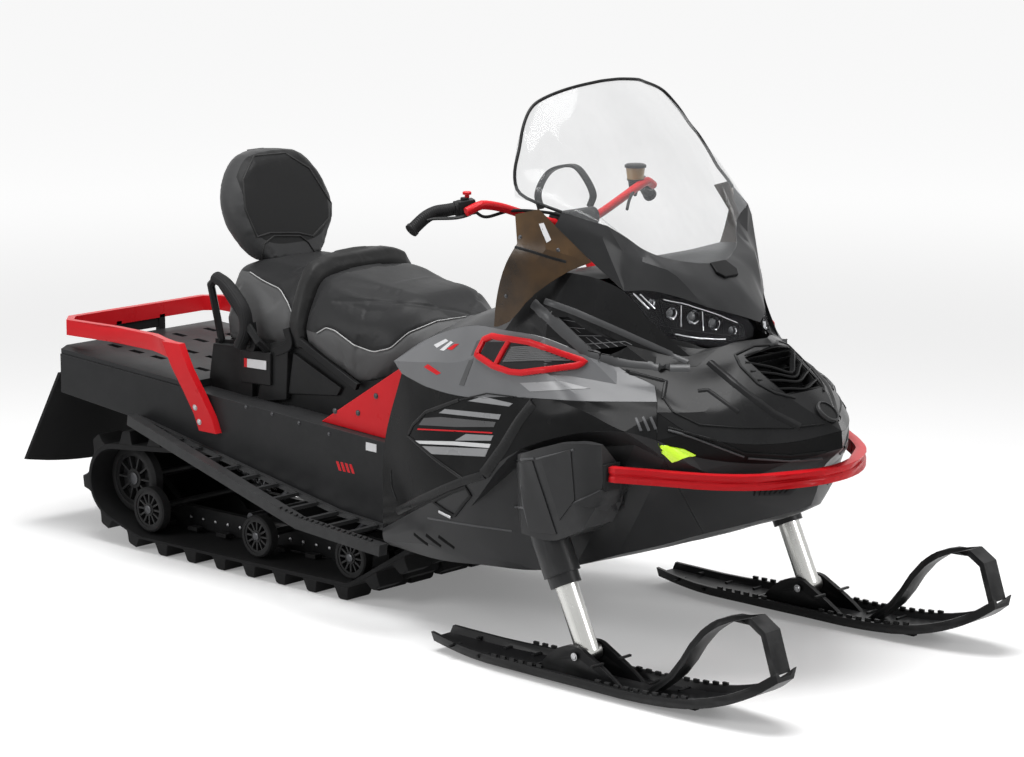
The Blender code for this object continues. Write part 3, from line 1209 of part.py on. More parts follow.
def make_frame_plates():
    """Red plates that stand on the tunnel beside the driver's seat."""
    outline = [(FRAME_REAR_X, tunnel_top(FRAME_REAR_X) + SEAT_GAP),
               (FRAME_FRONT_X, tunnel_top(FRAME_FRONT_X) + SEAT_GAP),
               (FRAME_FRONT_X, FRAME_TOP_Z), (FRAME_FRONT_X - FRAME_WALL * 2.0, FRAME_TOP_Z)]
    for name, side in (("frame_plate_right", RIGHT), ("frame_plate_left", LEFT)):
        near, far = sorted((side * FRAME_Y, side * (FRAME_Y - FRAME_WALL)))
        add_piece(name, prism(outline, "Y", near, far), "red_paint")


def column_point(along, out=0.0):
    """Place on the steering axis, at a distance up it from the clamp."""
    return Vector((CLAMP_X - along * math.sin(COLUMN_TILT), out, CLAMP_Z + along * math.cos(COLUMN_TILT)))


BAR_SHARES = (
    # out from the middle, forward and up, from the grip's end inwards
    (1.00, -1.00, 0.25), (0.79, -0.30, 0.80), (0.70, -0.20, 1.00), (0.58, -0.12, 0.87), (0.43, -0.08, 0.58),
    (0.20, -0.02, 0.15), (0.07, 0.0, 0.0),
)


def bar_place(row, side):
    out, ahead, rise = row
    return Vector((CLAMP_X + ahead * BAR_SWEEP, side * out * BAR_HALF, CLAMP_Z + rise * BAR_RISE))


def make_steering():
    """Bent bar on its column; the grips with their switch blocks are pieces of their own."""
    column = rod(column_point(-COLUMN_LENGTH), column_point(0.0), COLUMN_RADIUS)
    path = [bar_place(row, RIGHT) for row in BAR_SHARES[1:]]
    path += [bar_place(row, LEFT) for row in BAR_SHARES[:0:-1]]
    bar = sweep(path, circle(BAR_RADIUS, 12))
    add_piece("handlebar", fuse([bar, column]), "red_paint", origin=column_point(0.0))
    for name, side in (("control_right", RIGHT), ("control_left", LEFT)):
        end, start = bar_place(BAR_SHARES[0], side), bar_place(BAR_SHARES[1], side)
        ahead = (end - start).normalized()
        lean = ahead.cross((start - bar_place(BAR_SHARES[2], side)).normalized()).length
        inner = start + ahead * (BAR_RADIUS * lean + SEAT_GAP)
        grip = rod(inner, end, GRIP_RADIUS, 16)
        flat = ahead.cross(Vector((0.0, 0.0, 1.0))).normalized() * side
        a = SWITCH_SIZE / 2.0
        profile = [(-a, -a), (a, -a), (a, a), (-a, a)]
        switch = sweep([inner, inner + ahead * SWITCH_SIZE], profile)
        tip = inner + ahead * (SWITCH_SIZE / 2.0)
        lever = sweep([tip, tip - flat * LEVER_REACH, end - flat * LEVER_REACH], circle(LEVER_RADIUS, 8))
        add_piece(name, fuse([grip, switch, lever]), "black_plastic", origin=column_point(0.0))


FINISH = {}


def build():
    clear_scene()
    FINISH.update(make_finishes())
    make_track()
    make_wheels()
    make_slide_rails()
    for side in (RIGHT, LEFT):
        make_ski(side)
        make_leg(side)
        make_sleeve(side)
        make_board(side)
    make_tunnel()
    make_deck()
    make_flap()
    make_rail()
    make_skin()
    make_nose_grille()
    make_vent_frames()
    make_engine()
    make_bumper()
    make_seats()
    make_backrest()
    make_seat_base()
    make_frame_plates()
    make_arms()
    make_steering()


build()
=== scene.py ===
"""Looks of a two-seat utility snowmobile: moulded panels, padded seats, track, trim and studio."""

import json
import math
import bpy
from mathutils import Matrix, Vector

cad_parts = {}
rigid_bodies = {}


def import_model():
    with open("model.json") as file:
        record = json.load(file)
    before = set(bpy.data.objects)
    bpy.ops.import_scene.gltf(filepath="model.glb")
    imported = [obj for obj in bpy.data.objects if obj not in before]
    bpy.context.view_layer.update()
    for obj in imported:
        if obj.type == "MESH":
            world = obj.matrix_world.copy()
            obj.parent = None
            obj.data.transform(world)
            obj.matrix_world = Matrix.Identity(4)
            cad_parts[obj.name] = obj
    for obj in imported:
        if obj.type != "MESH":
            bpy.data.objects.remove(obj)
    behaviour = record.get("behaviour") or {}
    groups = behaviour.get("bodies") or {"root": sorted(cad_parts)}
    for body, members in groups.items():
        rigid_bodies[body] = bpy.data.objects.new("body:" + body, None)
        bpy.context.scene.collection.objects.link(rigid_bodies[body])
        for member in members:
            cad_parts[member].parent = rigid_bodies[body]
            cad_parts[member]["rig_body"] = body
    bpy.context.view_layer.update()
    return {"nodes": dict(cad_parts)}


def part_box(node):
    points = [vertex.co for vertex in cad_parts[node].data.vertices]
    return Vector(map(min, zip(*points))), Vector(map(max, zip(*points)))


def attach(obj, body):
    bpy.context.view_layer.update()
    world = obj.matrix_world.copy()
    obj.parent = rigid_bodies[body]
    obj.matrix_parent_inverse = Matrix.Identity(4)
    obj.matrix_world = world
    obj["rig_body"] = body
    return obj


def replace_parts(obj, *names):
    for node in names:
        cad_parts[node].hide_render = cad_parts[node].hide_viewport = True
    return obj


bl_info = {
    "name": "Two-seat snowmobile looks",
    "version": (1, 0, 0),
    "blender": (4, 5, 0),
    "location": "View3D > Sidebar > Snowmobile",
    "description": "Builds the visible pieces, finishes and studio of a utility snowmobile around its frame",
    "category": "Object",
}

import bmesh
import bpy
import numpy as np
from mathutils import Matrix, Vector
from mathutils.bvhtree import BVHTree

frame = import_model()
SIDES = (("right", -1.0), ("left", 1.0))
ACROSS, AWAY = (0.0, 1.0, 0.0), (0.0, -1.0, 0.0)

# Camera: the photograph's place, turn and lens
CAMERA_PLACE = (5.7849, -6.1485, 2.1914)
CAMERA_AZIMUTH, CAMERA_ELEVATION = math.radians(42.2562), math.radians(10.7395)
CAMERA_LENS, CAMERA_SENSOR = 111.36, 36.0
FRAME_WIDTH, FRAME_HEIGHT = 1024.0, 757.0


# Settings that a user would change

class SledColours(bpy.types.PropertyGroup):
    """Colours of the finishes, in linear light"""
    body: bpy.props.FloatVectorProperty(
        name="Body", description="Matte dark plastic of the body shell", subtype="COLOR", size=3,
        min=0.0, max=1.0, default=(0.0105, 0.0108, 0.0118))
    black: bpy.props.FloatVectorProperty(
        name="Black", description="Deep black plastic of the hood and the small parts", subtype="COLOR", size=3,
        min=0.0, max=1.0, default=(0.0036, 0.0038, 0.0042))
    grey: bpy.props.FloatVectorProperty(
        name="Side grey", description="Painted grey of the side panels", subtype="COLOR", size=3,
        min=0.0, max=1.0, default=(0.110, 0.112, 0.117))
    red: bpy.props.FloatVectorProperty(
        name="Red", description="Red paint of the rail, the bumper and the frames", subtype="COLOR", size=3,
        min=0.0, max=1.0, default=(0.520, 0.004, 0.009))
    vinyl: bpy.props.FloatVectorProperty(
        name="Vinyl", description="Grained vinyl of the seats", subtype="COLOR", size=3,
        min=0.0, max=1.0, default=(0.0175, 0.0178, 0.0186))
    amber: bpy.props.FloatVectorProperty(
        name="Amber", description="Smoked amber plastic of the wind deflectors", subtype="COLOR", size=3,
        min=0.0, max=1.0, default=(0.060, 0.030, 0.008))
    reflector: bpy.props.FloatVectorProperty(
        name="Reflector", description="Yellow-green of the side reflectors", subtype="COLOR", size=3,
        min=0.0, max=1.0, default=(0.600, 0.950, 0.010))


class SledSizes(bpy.types.PropertyGroup):
    """Sizes of details that the frame leaves open"""
    bevel: bpy.props.FloatProperty(
        name="Edge rounding", description="Radius worked onto the edges of the panels",
        default=0.0011, min=0.0002, max=0.004, unit="LENGTH")
    grain: bpy.props.FloatProperty(
        name="Grain height", description="Height of the moulded grain", default=0.00012, min=0.0, max=0.001,
        unit="LENGTH")
    screen_trim: bpy.props.FloatProperty(
        name="Screen trim", description="Radius of the dark trim around the windshield",
        default=0.0042, min=0.002, max=0.008, unit="LENGTH")
    lug_height: bpy.props.FloatProperty(
        name="Lug height", description="Height of the track's lugs", default=0.038, min=0.02, max=0.06,
        unit="LENGTH")
    piping: bpy.props.FloatProperty(
        name="Piping", description="Radius of the seats' piping", default=0.0016, min=0.001, max=0.004,
        unit="LENGTH")


def colours():
    return bpy.context.scene.sled_colours


def sizes():
    return bpy.context.scene.sled_sizes


# Surfaces as arrays

def joined(parts):
    """Stacks (points, faces) pairs into one, each face a tuple of point numbers."""
    points, faces, base = [], [], 0
    for p, f in parts:
        p = np.asarray(p, float)
        points.append(p)
        faces += [tuple(int(i) + base for i in face) for face in f]
        base += len(p)
    return np.vstack(points), faces


def grid_faces(rows, columns, wrap_rows=False, wrap_columns=False):
    """Quads of a rows x columns grid, closed in either direction if asked."""
    i = np.arange(rows if wrap_rows else rows - 1)
    j = np.arange(columns if wrap_columns else columns - 1)
    i, j = (a.ravel() for a in np.meshgrid(i, j, indexing="ij"))
    up, right = (i + 1) % rows, (j + 1) % columns
    corners = (i * columns + j, i * columns + right, up * columns + right, up * columns + j)
    return np.stack(corners, axis=1).tolist()


def frames_along(path, closed=False):
    """Unit tangent and two normals at each point of a path; the first normal keeps its turn."""
    path = np.asarray(path, float)
    if closed:
        ahead, behind = np.roll(path, -1, axis=0), np.roll(path, 1, axis=0)
    else:
        ahead = np.vstack([path[1:], 2.0 * path[-1:] - path[-2:-1]])
        behind = np.vstack([2.0 * path[:1] - path[1:2], path[:-1]])
    tangent = ahead - behind
    tangent /= np.linalg.norm(tangent, axis=1, keepdims=True)
    side = np.cross(tangent[0], (0.0, 0.0, 1.0) if abs(tangent[0][2]) < 0.9 else (1.0, 0.0, 0.0))
    sides = []
    for t in tangent:
        side = side - t * side.dot(t)
        side = side / np.linalg.norm(side)
        sides.append(side)
    sides = np.array(sides)
    return tangent, sides, np.cross(tangent, sides)


def carried(path, side, over, profile, closed):
    """point(i, j) = path(i) + profile(j)[0] * side(i) + profile(j)[1] * over(i); open ends have flat caps."""
    profile = np.asarray(profile, float)
    points = path[:, None] + profile[None, :, :1] * side[:, None] + profile[None, :, 1:] * over[:, None]
    rows, columns = len(path), len(profile)
    faces = grid_faces(rows, columns, closed, True)
    if not closed:
        faces += [list(range(columns))[::-1], [(rows - 1) * columns + k for k in range(columns)]]
    return points.reshape(-1, 3), faces


def swept(path, profile, closed=False, up=None):
    """A profile carried along a path; its second axis lies towards up, or else keeps its turn."""
    path = np.asarray(path, float)
    tangent, side, over = frames_along(path, closed)
    if up is not None:
        side = np.cross(tangent, np.asarray(up, float))
        side /= np.linalg.norm(side, axis=1, keepdims=True)
        over = np.cross(side, tangent)
    return carried(path, side, over, profile, closed)


def round_profile(radius, sides=12, squash=1.0):
    """Circle of a radius, flattened by a share, in the plane across a path."""
    a = np.linspace(0.0, 2.0 * math.pi, sides, endpoint=False)
    return np.stack([radius * np.cos(a), radius * squash * np.sin(a)], axis=1)


def smooth_path(points, steps=6, closed=False):
    """Catmull-Rom curve: each span is the cubic whose end slopes are half the chords beside it."""
    p = np.asarray(points, float)
    if closed:
        before, start, end, after = np.roll(p, 1, 0), p, np.roll(p, -1, 0), np.roll(p, -2, 0)
    else:
        q = np.vstack([2.0 * p[:1] - p[1:2], p, 2.0 * p[-1:] - p[-2:-1]])
        before, start, end, after = q[:-3], q[1:-2], q[2:-1], q[3:]
    t = np.linspace(0.0, 1.0, steps, endpoint=False)[None, :, None]
    a, b, c, d = (x[:, None, :] for x in (before, start, end, after))
    curve = 0.5 * (2.0 * b + (c - a) * t + (2.0 * a - 5.0 * b + 4.0 * c - d) * t ** 2
                   + (3.0 * b - a - 3.0 * c + d) * t ** 3)
    curve = curve.reshape(-1, 3)
    return curve if closed else np.vstack([curve, p[-1:]])


def turned(profile, centre, axis="Y", sides=32):
    """Surface of revolution: point(i, a) = centre + along(i) * axis + radius(i) * (cos a, sin a) across it."""
    rows = np.asarray(profile, float)
    a = np.linspace(0.0, 2.0 * math.pi, sides, endpoint=False)
    along = np.repeat(rows[:, 0], sides)
    first = (rows[:, 1:2] * np.cos(a)[None, :]).ravel()
    second = (rows[:, 1:2] * np.sin(a)[None, :]).ravel()
    order = {"X": (along, first, second), "Y": (second, along, first), "Z": (first, second, along)}[axis]
    points = np.stack(order, axis=1) + np.asarray(centre, float)
    return points, grid_faces(len(rows), sides, False, True)


def turned_between(start, end, profile, sides=24):
    """Surface of revolution around the line from start to end; profile is (share of the line, radius)."""
    start, end = np.asarray(start, float), np.asarray(end, float)
    rows = np.asarray(profile, float)
    line = end - start
    far = np.linalg.norm(line)
    axis = line / far
    side = np.cross(axis, (0.0, 1.0, 0.0) if abs(axis[1]) < 0.9 else (1.0, 0.0, 0.0))
    side /= np.linalg.norm(side)
    over = np.cross(axis, side)
    a = np.linspace(0.0, 2.0 * math.pi, sides, endpoint=False)
    ring = np.cos(a)[:, None] * side + np.sin(a)[:, None] * over
    points = start + rows[:, None, :1] * line + rows[:, None, 1:2] * ring[None]
    return points.reshape(-1, 3), grid_faces(len(rows), sides, False, True)


def slab(outline, lift, thickness):
    """A flat outline pushed along a direction by a thickness; outline is a ring of points in space."""
    ring = np.asarray(outline, float)
    lift = np.asarray(lift, float)
    lift = lift / np.linalg.norm(lift) * thickness
    n = len(ring)
    faces = [list(range(n))[::-1], list(range(n, 2 * n))]
    faces += [[k, (k + 1) % n, n + (k + 1) % n, n + k] for k in range(n)]
    return np.vstack([ring, ring + lift]), faces


def block(x0, x1, y0, y1, z, height):
    """Upright box over a rectangle of x and y."""
    return slab([(x0, y0, z), (x1, y0, z), (x1, y1, z), (x0, y1, z)], (0.0, 0.0, 1.0), height)


def bar_profile(width, height):
    """Rectangle across a path: half widths and half heights each side of it."""
    return [(-width, -height), (width, -height), (width, height), (-width, height)]


def bolt(place, direction, radius=0.006, height=0.004):
    """Domed hexagon head: six-sided foot and a rounded crown."""
    profile = [(0.0, 0.0), (0.0, radius * 1.25), (0.25, radius * 1.25), (0.3, radius), (0.8, radius * 0.9),
               (1.0, radius * 0.6), (1.0, 0.0)]
    place, direction = np.asarray(place, float), np.asarray(direction, float)
    direction = direction / np.linalg.norm(direction)
    return turned_between(place, place + direction * height, profile, 12)


def mirrored(part):
    """The part reflected in the machine's middle plane, its faces turned round."""
    points, faces = part
    return np.asarray(points, float) * (1.0, -1.0, 1.0), [tuple(face)[::-1] for face in faces]


# Objects

FINISHES = {}
SAME_PLACE = 1e-6


def new_piece(name, parts, finish, body="chassis", angle=35.0, bevel=0.0, slot="black_plastic"):
    """A mesh object from arrays: doubles merged, faces outward, smooth by angle, bevelled if asked, riding."""
    points, faces = joined(parts)
    mesh = bpy.data.meshes.new(name)
    mesh.from_pydata(points.tolist(), [], faces)
    shape = bmesh.new()
    shape.from_mesh(mesh)
    bmesh.ops.remove_doubles(shape, verts=shape.verts, dist=SAME_PLACE)
    bmesh.ops.dissolve_degenerate(shape, edges=shape.edges, dist=SAME_PLACE)
    bmesh.ops.recalc_face_normals(shape, faces=shape.faces)
    shape.to_mesh(mesh)
    shape.free()
    return placed(name, mesh, FINISHES[finish], body, angle, bevel)


def placed(name, mesh, material, body, angle, bevel=0.0, levels=0):
    """Links a mesh as a piece: finish, smooth shading by angle, modifiers, body and material slot."""
    mesh.materials.clear()
    mesh.materials.append(material)
    mesh.shade_smooth()
    mesh.set_sharp_from_angle(angle=math.radians(angle))
    piece = bpy.data.objects.new(name, mesh)
    bpy.context.scene.collection.objects.link(piece)
    if bevel > 0.0:
        rounding = piece.modifiers.new("rounding", "BEVEL")
        rounding.width = bevel
        rounding.segments = 2
        rounding.limit_method = "ANGLE"
        rounding.angle_limit = math.radians(angle)
        rounding.harden_normals = True
    if levels:
        refine = piece.modifiers.new("refine", "SUBSURF")
        refine.levels = refine.render_levels = levels
    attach(piece, body)
    return piece


def node_arrays(node):
    """Merged points and triangles of a CAD node: points that round to the same 10 micrometres are one."""
    mesh = frame["nodes"][node].data
    points = places_of(mesh)
    mesh.calc_loop_triangles()
    triangles = np.empty(len(mesh.loop_triangles) * 3, np.int64)
    mesh.loop_triangles.foreach_get("vertices", triangles)
    _, first, number = np.unique(np.round(points, 5), axis=0, return_index=True, return_inverse=True)
    triangles = number.ravel()[triangles].reshape(-1, 3)
    kept = (triangles[:, 0] != triangles[:, 1]) & (triangles[:, 1] != triangles[:, 2])
    kept &= triangles[:, 2] != triangles[:, 0]
    return points[first], triangles[kept]


def unit(rows):
    return rows / np.maximum(np.linalg.norm(rows, axis=-1, keepdims=True), 1e-12)


def curved_facets(points, triangles, crease, steps, flow=38.0):
    """Curves a faceted solid without moving its corners.

    Each triangle becomes a cubic patch. A smooth edge bends to the averaged normals at its ends, and an edge
    sharper than crease follows the line that it forms with its straightest neighbour, so patches stay joined.
    """
    corner = points[triangles]
    flat = np.cross(corner[:, 1] - corner[:, 0], corner[:, 2] - corner[:, 0])
    area = np.linalg.norm(flat, axis=1, keepdims=True)
    flat = unit(flat)
    a, b = triangles, np.roll(triangles, -1, axis=1)
    key = np.sort(np.stack([a, b], axis=2).reshape(-1, 2), axis=1)
    edges, number = np.unique(key, axis=0, return_inverse=True)
    number = number.ravel()
    owner = np.repeat(np.arange(len(triangles)), 3)
    order = np.argsort(number, kind="stable")
    first = np.searchsorted(number[order], np.arange(len(edges)))
    last = np.searchsorted(number[order], np.arange(len(edges)), side="right") - 1
    one, two = owner[order[first]], owner[order[last]]
    sharp = (flat[one] * flat[two]).sum(1) < math.cos(math.radians(crease))
    # normal at each corner: faces round the vertex that turn less than the crease
    pair_vertex = triangles.ravel()
    by_vertex = np.argsort(pair_vertex, kind="stable")
    start = np.searchsorted(pair_vertex[by_vertex], np.arange(len(points)))
    stop = np.searchsorted(pair_vertex[by_vertex], np.arange(len(points)), side="right")
    most = int((stop - start).max())
    slots = start[:, None] + np.arange(most)[None, :]
    valid = slots < stop[:, None]
    around = owner[by_vertex[np.minimum(slots, len(by_vertex) - 1)]]
    near = around[triangles]
    turn = (flat[near] * flat[:, None, None, :]).sum(-1)
    weight = np.where(valid[triangles] & (turn > math.cos(math.radians(crease))), area[near][..., 0], 0.0)
    normal = unit((flat[near] * weight[..., None]).sum(2))
    # control points of each edge, from both faces
    pull = np.zeros((len(edges), 2, 3))
    edge_of = number.reshape(-1, 3)
    swaps = (edges[edge_of, 0] != triangles).astype(int)
    for k in range(3):
        e, swap = edge_of[:, k], swaps[:, k]
        p, q = points[triangles[:, k]], points[triangles[:, (k + 1) % 3]]
        at_i = (2.0 * p + q - ((q - p) * normal[:, k]).sum(1, keepdims=True) * normal[:, k]) / 3.0
        n_j = normal[:, (k + 1) % 3]
        at_j = (2.0 * q + p - ((p - q) * n_j).sum(1, keepdims=True) * n_j) / 3.0
        np.add.at(pull, (e, swap), at_i / 2.0)
        np.add.at(pull, (e, 1 - swap), at_j / 2.0)
    # sharp edges run on into their straightest neighbour
    lines = np.flatnonzero(sharp)
    ends = np.concatenate([edges[lines], edges[lines][:, ::-1]])
    away = points[ends[:, 1]] - points[ends[:, 0]]
    length = np.linalg.norm(away, axis=1, keepdims=True)
    heading = away / length
    by_end = np.argsort(ends[:, 0], kind="stable")
    sorted_end = ends[by_end, 0]
    low = np.searchsorted(sorted_end, ends[:, 0])
    high = np.searchsorted(sorted_end, ends[:, 0], side="right")
    width = int((high - low).max()) if len(ends) else 0
    tangent = heading.copy()
    if width:
        slots = low[:, None] + np.arange(width)[None, :]
        other = by_end[np.minimum(slots, len(by_end) - 1)]
        usable = (slots < high[:, None]) & (other != np.arange(len(ends))[:, None])
        bend = -(heading[other] * heading[:, None, :]).sum(-1)
        bend = np.where(usable, bend, -2.0)
        best = other[np.arange(len(ends)), bend.argmax(1)]
        flows = bend.max(1) > math.cos(math.radians(flow))
        share = length[best] / (length + length[best])
        along = unit(heading * share - heading[best] * (1.0 - share))
        tangent = np.where(flows[:, None], along, heading)
    control = points[ends[:, 0]] + tangent * length / 3.0
    count = len(lines)
    pull[lines, 0] = control[:count]
    pull[lines, 1] = control[count:]
    # cubic patches on a grid of barycentric places
    i, j = np.meshgrid(np.arange(steps + 1), np.arange(steps + 1), indexing="ij")
    keep = i + j <= steps
    v, w = i[keep] / steps, j[keep] / steps
    u = 1.0 - v - w
    table = -np.ones((steps + 1, steps + 1), int)
    table[keep] = np.arange(keep.sum())
    hands = [(pull[edge_of[:, k], swaps[:, k]], pull[edge_of[:, k], 1 - swaps[:, k]]) for k in range(3)]
    (b210, b120), (b021, b012), (b102, b201) = hands
    p1, p2, p3 = corner[:, 0], corner[:, 1], corner[:, 2]
    middle = (b210 + b120 + b021 + b012 + b102 + b201) / 6.0
    b111 = middle + (middle - (p1 + p2 + p3) / 3.0) / 2.0
    terms = [(p1, u ** 3), (p2, v ** 3), (p3, w ** 3), (b210, 3 * u * u * v), (b120, 3 * u * v * v),
             (b021, 3 * v * v * w), (b012, 3 * v * w * w), (b102, 3 * u * w * w), (b201, 3 * u * u * w),
             (b111, 6 * u * v * w)]
    grid = sum(c[:, None, :] * s[None, :, None] for c, s in terms)
    small = []
    for x in range(steps):
        for y in range(steps - x):
            small.append((table[x, y], table[x + 1, y], table[x, y + 1]))
            if x + y < steps - 1:
                small.append((table[x + 1, y], table[x + 1, y + 1], table[x, y + 1]))
    faces = np.array(small)[None] + (np.arange(len(triangles)) * keep.sum())[:, None, None]
    return grid.reshape(-1, 3), faces.reshape(-1, 3)


def curved_mesh(name, node, crease, steps, flow=38.0):
    """A CAD node's solid with curved facets, as a new merged mesh."""
    points, triangles = curved_facets(*node_arrays(node), crease, steps, flow)
    mesh = bpy.data.meshes.new(name)
    mesh.from_pydata(points.tolist(), [], triangles.tolist())
    shape = bmesh.new()
    shape.from_mesh(mesh)
    bmesh.ops.remove_doubles(shape, verts=shape.verts, dist=SAME_PLACE)
    bmesh.ops.dissolve_degenerate(shape, edges=shape.edges, dist=SAME_PLACE)
    shape.to_mesh(mesh)
    shape.free()
    return mesh


def dressed(name, node, material, crease, steps, bevel):
    """A curved copy of a CAD node that stands for it."""
    mesh = curved_mesh(name, node, crease, steps)
    piece = placed(name, mesh, material, frame["nodes"][node]["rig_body"], crease, bevel)
    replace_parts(piece, node)
    return piece


# Features placed on the panels along lines of sight of the photograph

def camera_axes():
    """Right, up and backward directions of the camera."""
    right = Vector((math.cos(CAMERA_AZIMUTH), math.sin(CAMERA_AZIMUTH), 0.0))
    back = Vector((math.sin(CAMERA_AZIMUTH) * math.cos(CAMERA_ELEVATION),
                   -math.cos(CAMERA_AZIMUTH) * math.cos(CAMERA_ELEVATION), math.sin(CAMERA_ELEVATION)))
    return right, back.cross(right), back


def sight(u, v):
    """Direction from the camera through a place of the photograph, in its pixels."""
    right, up, back = camera_axes()
    focal = CAMERA_LENS / CAMERA_SENSOR * FRAME_WIDTH
    across, down = (u - FRAME_WIDTH / 2.0) / focal, (v - FRAME_HEIGHT / 2.0) / focal
    return (right * across - up * down - back).normalized()


def surface_tree(*names):
    """Search tree over the finished meshes of pieces, by name."""
    points, faces, base = [], [], 0
    for name in names:
        mesh = bpy.data.objects[name].data
        points += [v.co.copy() for v in mesh.vertices]
        faces += [[i + base for i in face.vertices] for face in mesh.polygons]
        base += len(mesh.vertices)
    return BVHTree.FromPolygons(points, faces)


def seen(tree, places, lift=0.0):
    """Points of the near side's surface behind places of the photograph, and the surface normals there.

    A place just off the surface takes the surface's nearest point, at the depth of the others.
    """
    eye = Vector(CAMERA_PLACE)
    rays = [sight(u, v) for u, v in places]
    hits = [tree.ray_cast(eye, ray) for ray in rays]
    depths = [hit[3] for hit in hits if hit[0] is not None]
    if not depths:
        raise RuntimeError("no surface behind %.1f, %.1f" % tuple(places[0]))
    depth = sum(depths) / len(depths)
    points, normals = [], []
    for ray, (point, normal, _, _) in zip(rays, hits):
        if point is None:
            point, normal, _, _ = tree.find_nearest(eye + ray * depth)
        points.append(np.array(point + normal * lift))
        normals.append(np.array(normal))
    return np.array(points), np.array(normals)


def at_width(places, y):
    """Points at a distance y from the middle plane behind places of the photograph."""
    start = Vector(CAMERA_PLACE)
    rays = [sight(u, v) for u, v in places]
    return np.array([start + ray * ((y - start.y) / ray.y) for ray in rays])


def dense(places, step=4.0, closed=False):
    """Places added along a line so that none are further apart than a step."""
    p = np.asarray(places, float)
    if closed:
        p = np.vstack([p, p[:1]])
    rows = []
    for a, b in zip(p[:-1], p[1:]):
        count = max(1, int(math.ceil(np.linalg.norm(b - a) / step)))
        rows.append(a + (b - a) * np.linspace(0.0, 1.0, count, endpoint=False)[:, None])
    rows = np.vstack(rows)
    return rows if closed else np.vstack([rows, p[-1:]])


def laid_line(tree, places, profile, closed=False, step=4.0):
    """A profile carried along the surface behind a line of the photograph; its second axis stands off it."""
    points, normals = seen(tree, dense(places, step, closed))
    ahead = np.roll(points, -1, 0) - np.roll(points, 1, 0)
    if not closed:
        ahead[0], ahead[-1] = points[1] - points[0], points[-1] - points[-2]
    ahead = unit(ahead)
    side = unit(np.cross(ahead, normals))
    return carried(points, side, np.cross(side, ahead), profile, closed)


def between_corners(corners, rows, columns):
    """Bilinear grid between four corners, row by row."""
    a, b, c, d = (np.asarray(x, float) for x in corners)
    s, t = np.meshgrid(np.linspace(0, 1, columns), np.linspace(0, 1, rows), indexing="xy")
    s, t = s.reshape(-1, 1), t.reshape(-1, 1)
    return (a * (1 - s) + b * s) * (1 - t) + (d * (1 - s) + c * s) * t


def walled(top, low, rows, columns):
    """A plate from the grid of its top and the grid of its underside: both skins and the wall around them."""
    faces = grid_faces(rows, columns)
    n = rows * columns
    ring = list(range(columns)) + [r * columns + columns - 1 for r in range(1, rows)]
    ring += [(rows - 1) * columns + k for k in range(columns - 2, -1, -1)]
    ring += [r * columns for r in range(rows - 2, 0, -1)]
    walls = [[a, b, b + n, a + n] for a, b in zip(ring, ring[1:] + ring[:1])]
    return np.vstack([top, low]), faces + [[i + n for i in face][::-1] for face in faces] + walls


def laid_patch(tree, corners, lift, wall, rows=8, columns=8):
    """A plate over the surface behind four places of the photograph: bilinear grid, lifted, wall below."""
    points, normals = seen(tree, between_corners(corners, rows, columns))
    return walled(points + normals * lift, points + normals * (lift - wall), rows, columns)


def stretched_patch(tree, corners, lift, wall, rows=4, columns=4):
    """A flat plate between four surface points, across an opening; also its corners and direction."""
    points, normals = seen(tree, corners, lift)
    top = between_corners(points, rows, columns)
    out = unit(normals.mean(0, keepdims=True))
    return walled(top, top - out * wall, rows, columns), points, out


def box_profile(width, low, high, soft=0.25):
    """Bevelled bar across a path: half widths each side, from low to high off the surface."""
    h, s = width / 2.0, width * soft
    return [(-h, low), (h, low), (h, high - s * 0.6), (h - s, high), (-h + s, high), (-h, high - s * 0.6)]


def both_sides(parts):
    return list(parts) + [mirrored(part) for part in parts]


def laid_bars(name, tree, lines, finish, low=-0.001, soft=0.25, step=4.0, **more):
    """One piece of bars behind lines of the photograph, on both sides; a line is (places, width, height)."""
    bars = [laid_line(tree, places, box_profile(width, low, high, soft), step=step)
            for places, width, high in lines]
    return new_piece(name, both_sides(bars), finish, **more)


def laid_plates(name, tree, plates, finish, rows, columns, **more):
    """One piece of plates behind corners of the photograph, on both sides; a plate is (corners, lift, wall)."""
    parts = [laid_patch(tree, corners, lift, wall, rows, columns) for corners, lift, wall in plates]
    return new_piece(name, both_sides(parts), finish, **more)


def alike(items, *measures):
    """The same measures put behind each item of a table."""
    return [(item,) + measures for item in items]


# Shader groups: values that change over a surface

def group(name, inputs, outputs):
    """An empty shader group with named float or vector sockets, and its two end nodes."""
    tree = bpy.data.node_groups.new(name, "ShaderNodeTree")
    for label, kind, default in inputs:
        socket = tree.interface.new_socket(label, in_out="INPUT", socket_type="NodeSocket" + kind)
        socket.default_value = default
    for label, kind in outputs:
        tree.interface.new_socket(label, in_out="OUTPUT", socket_type="NodeSocket" + kind)
    return tree, tree.nodes.new("NodeGroupInput"), tree.nodes.new("NodeGroupOutput")


def math_node(tree, operation, a, b=None, clamp=False):
    """A Math node; a and b are sockets or numbers."""
    node = tree.nodes.new("ShaderNodeMath")
    node.operation = operation
    node.use_clamp = clamp
    for k, value in enumerate((a, b)):
        if value is None:
            continue
        if isinstance(value, (int, float)):
            node.inputs[k].default_value = value
        else:
            tree.links.new(value, node.inputs[k])
    return node.outputs[0]


def noise_node(tree, vector, scale, detail=3.0, rough=0.55, stretch=None):
    if stretch:
        mapping = tree.nodes.new("ShaderNodeMapping")
        mapping.inputs["Scale"].default_value = stretch
        tree.links.new(vector, mapping.inputs["Vector"])
        vector = mapping.outputs[0]
    node = tree.nodes.new("ShaderNodeTexNoise")
    tree.links.new(vector, node.inputs["Vector"])
    if isinstance(scale, (int, float)):
        node.inputs["Scale"].default_value = scale
    else:
        tree.links.new(scale, node.inputs["Scale"])
    node.inputs["Detail"].default_value = detail
    node.inputs["Roughness"].default_value = rough
    return node.outputs[0]


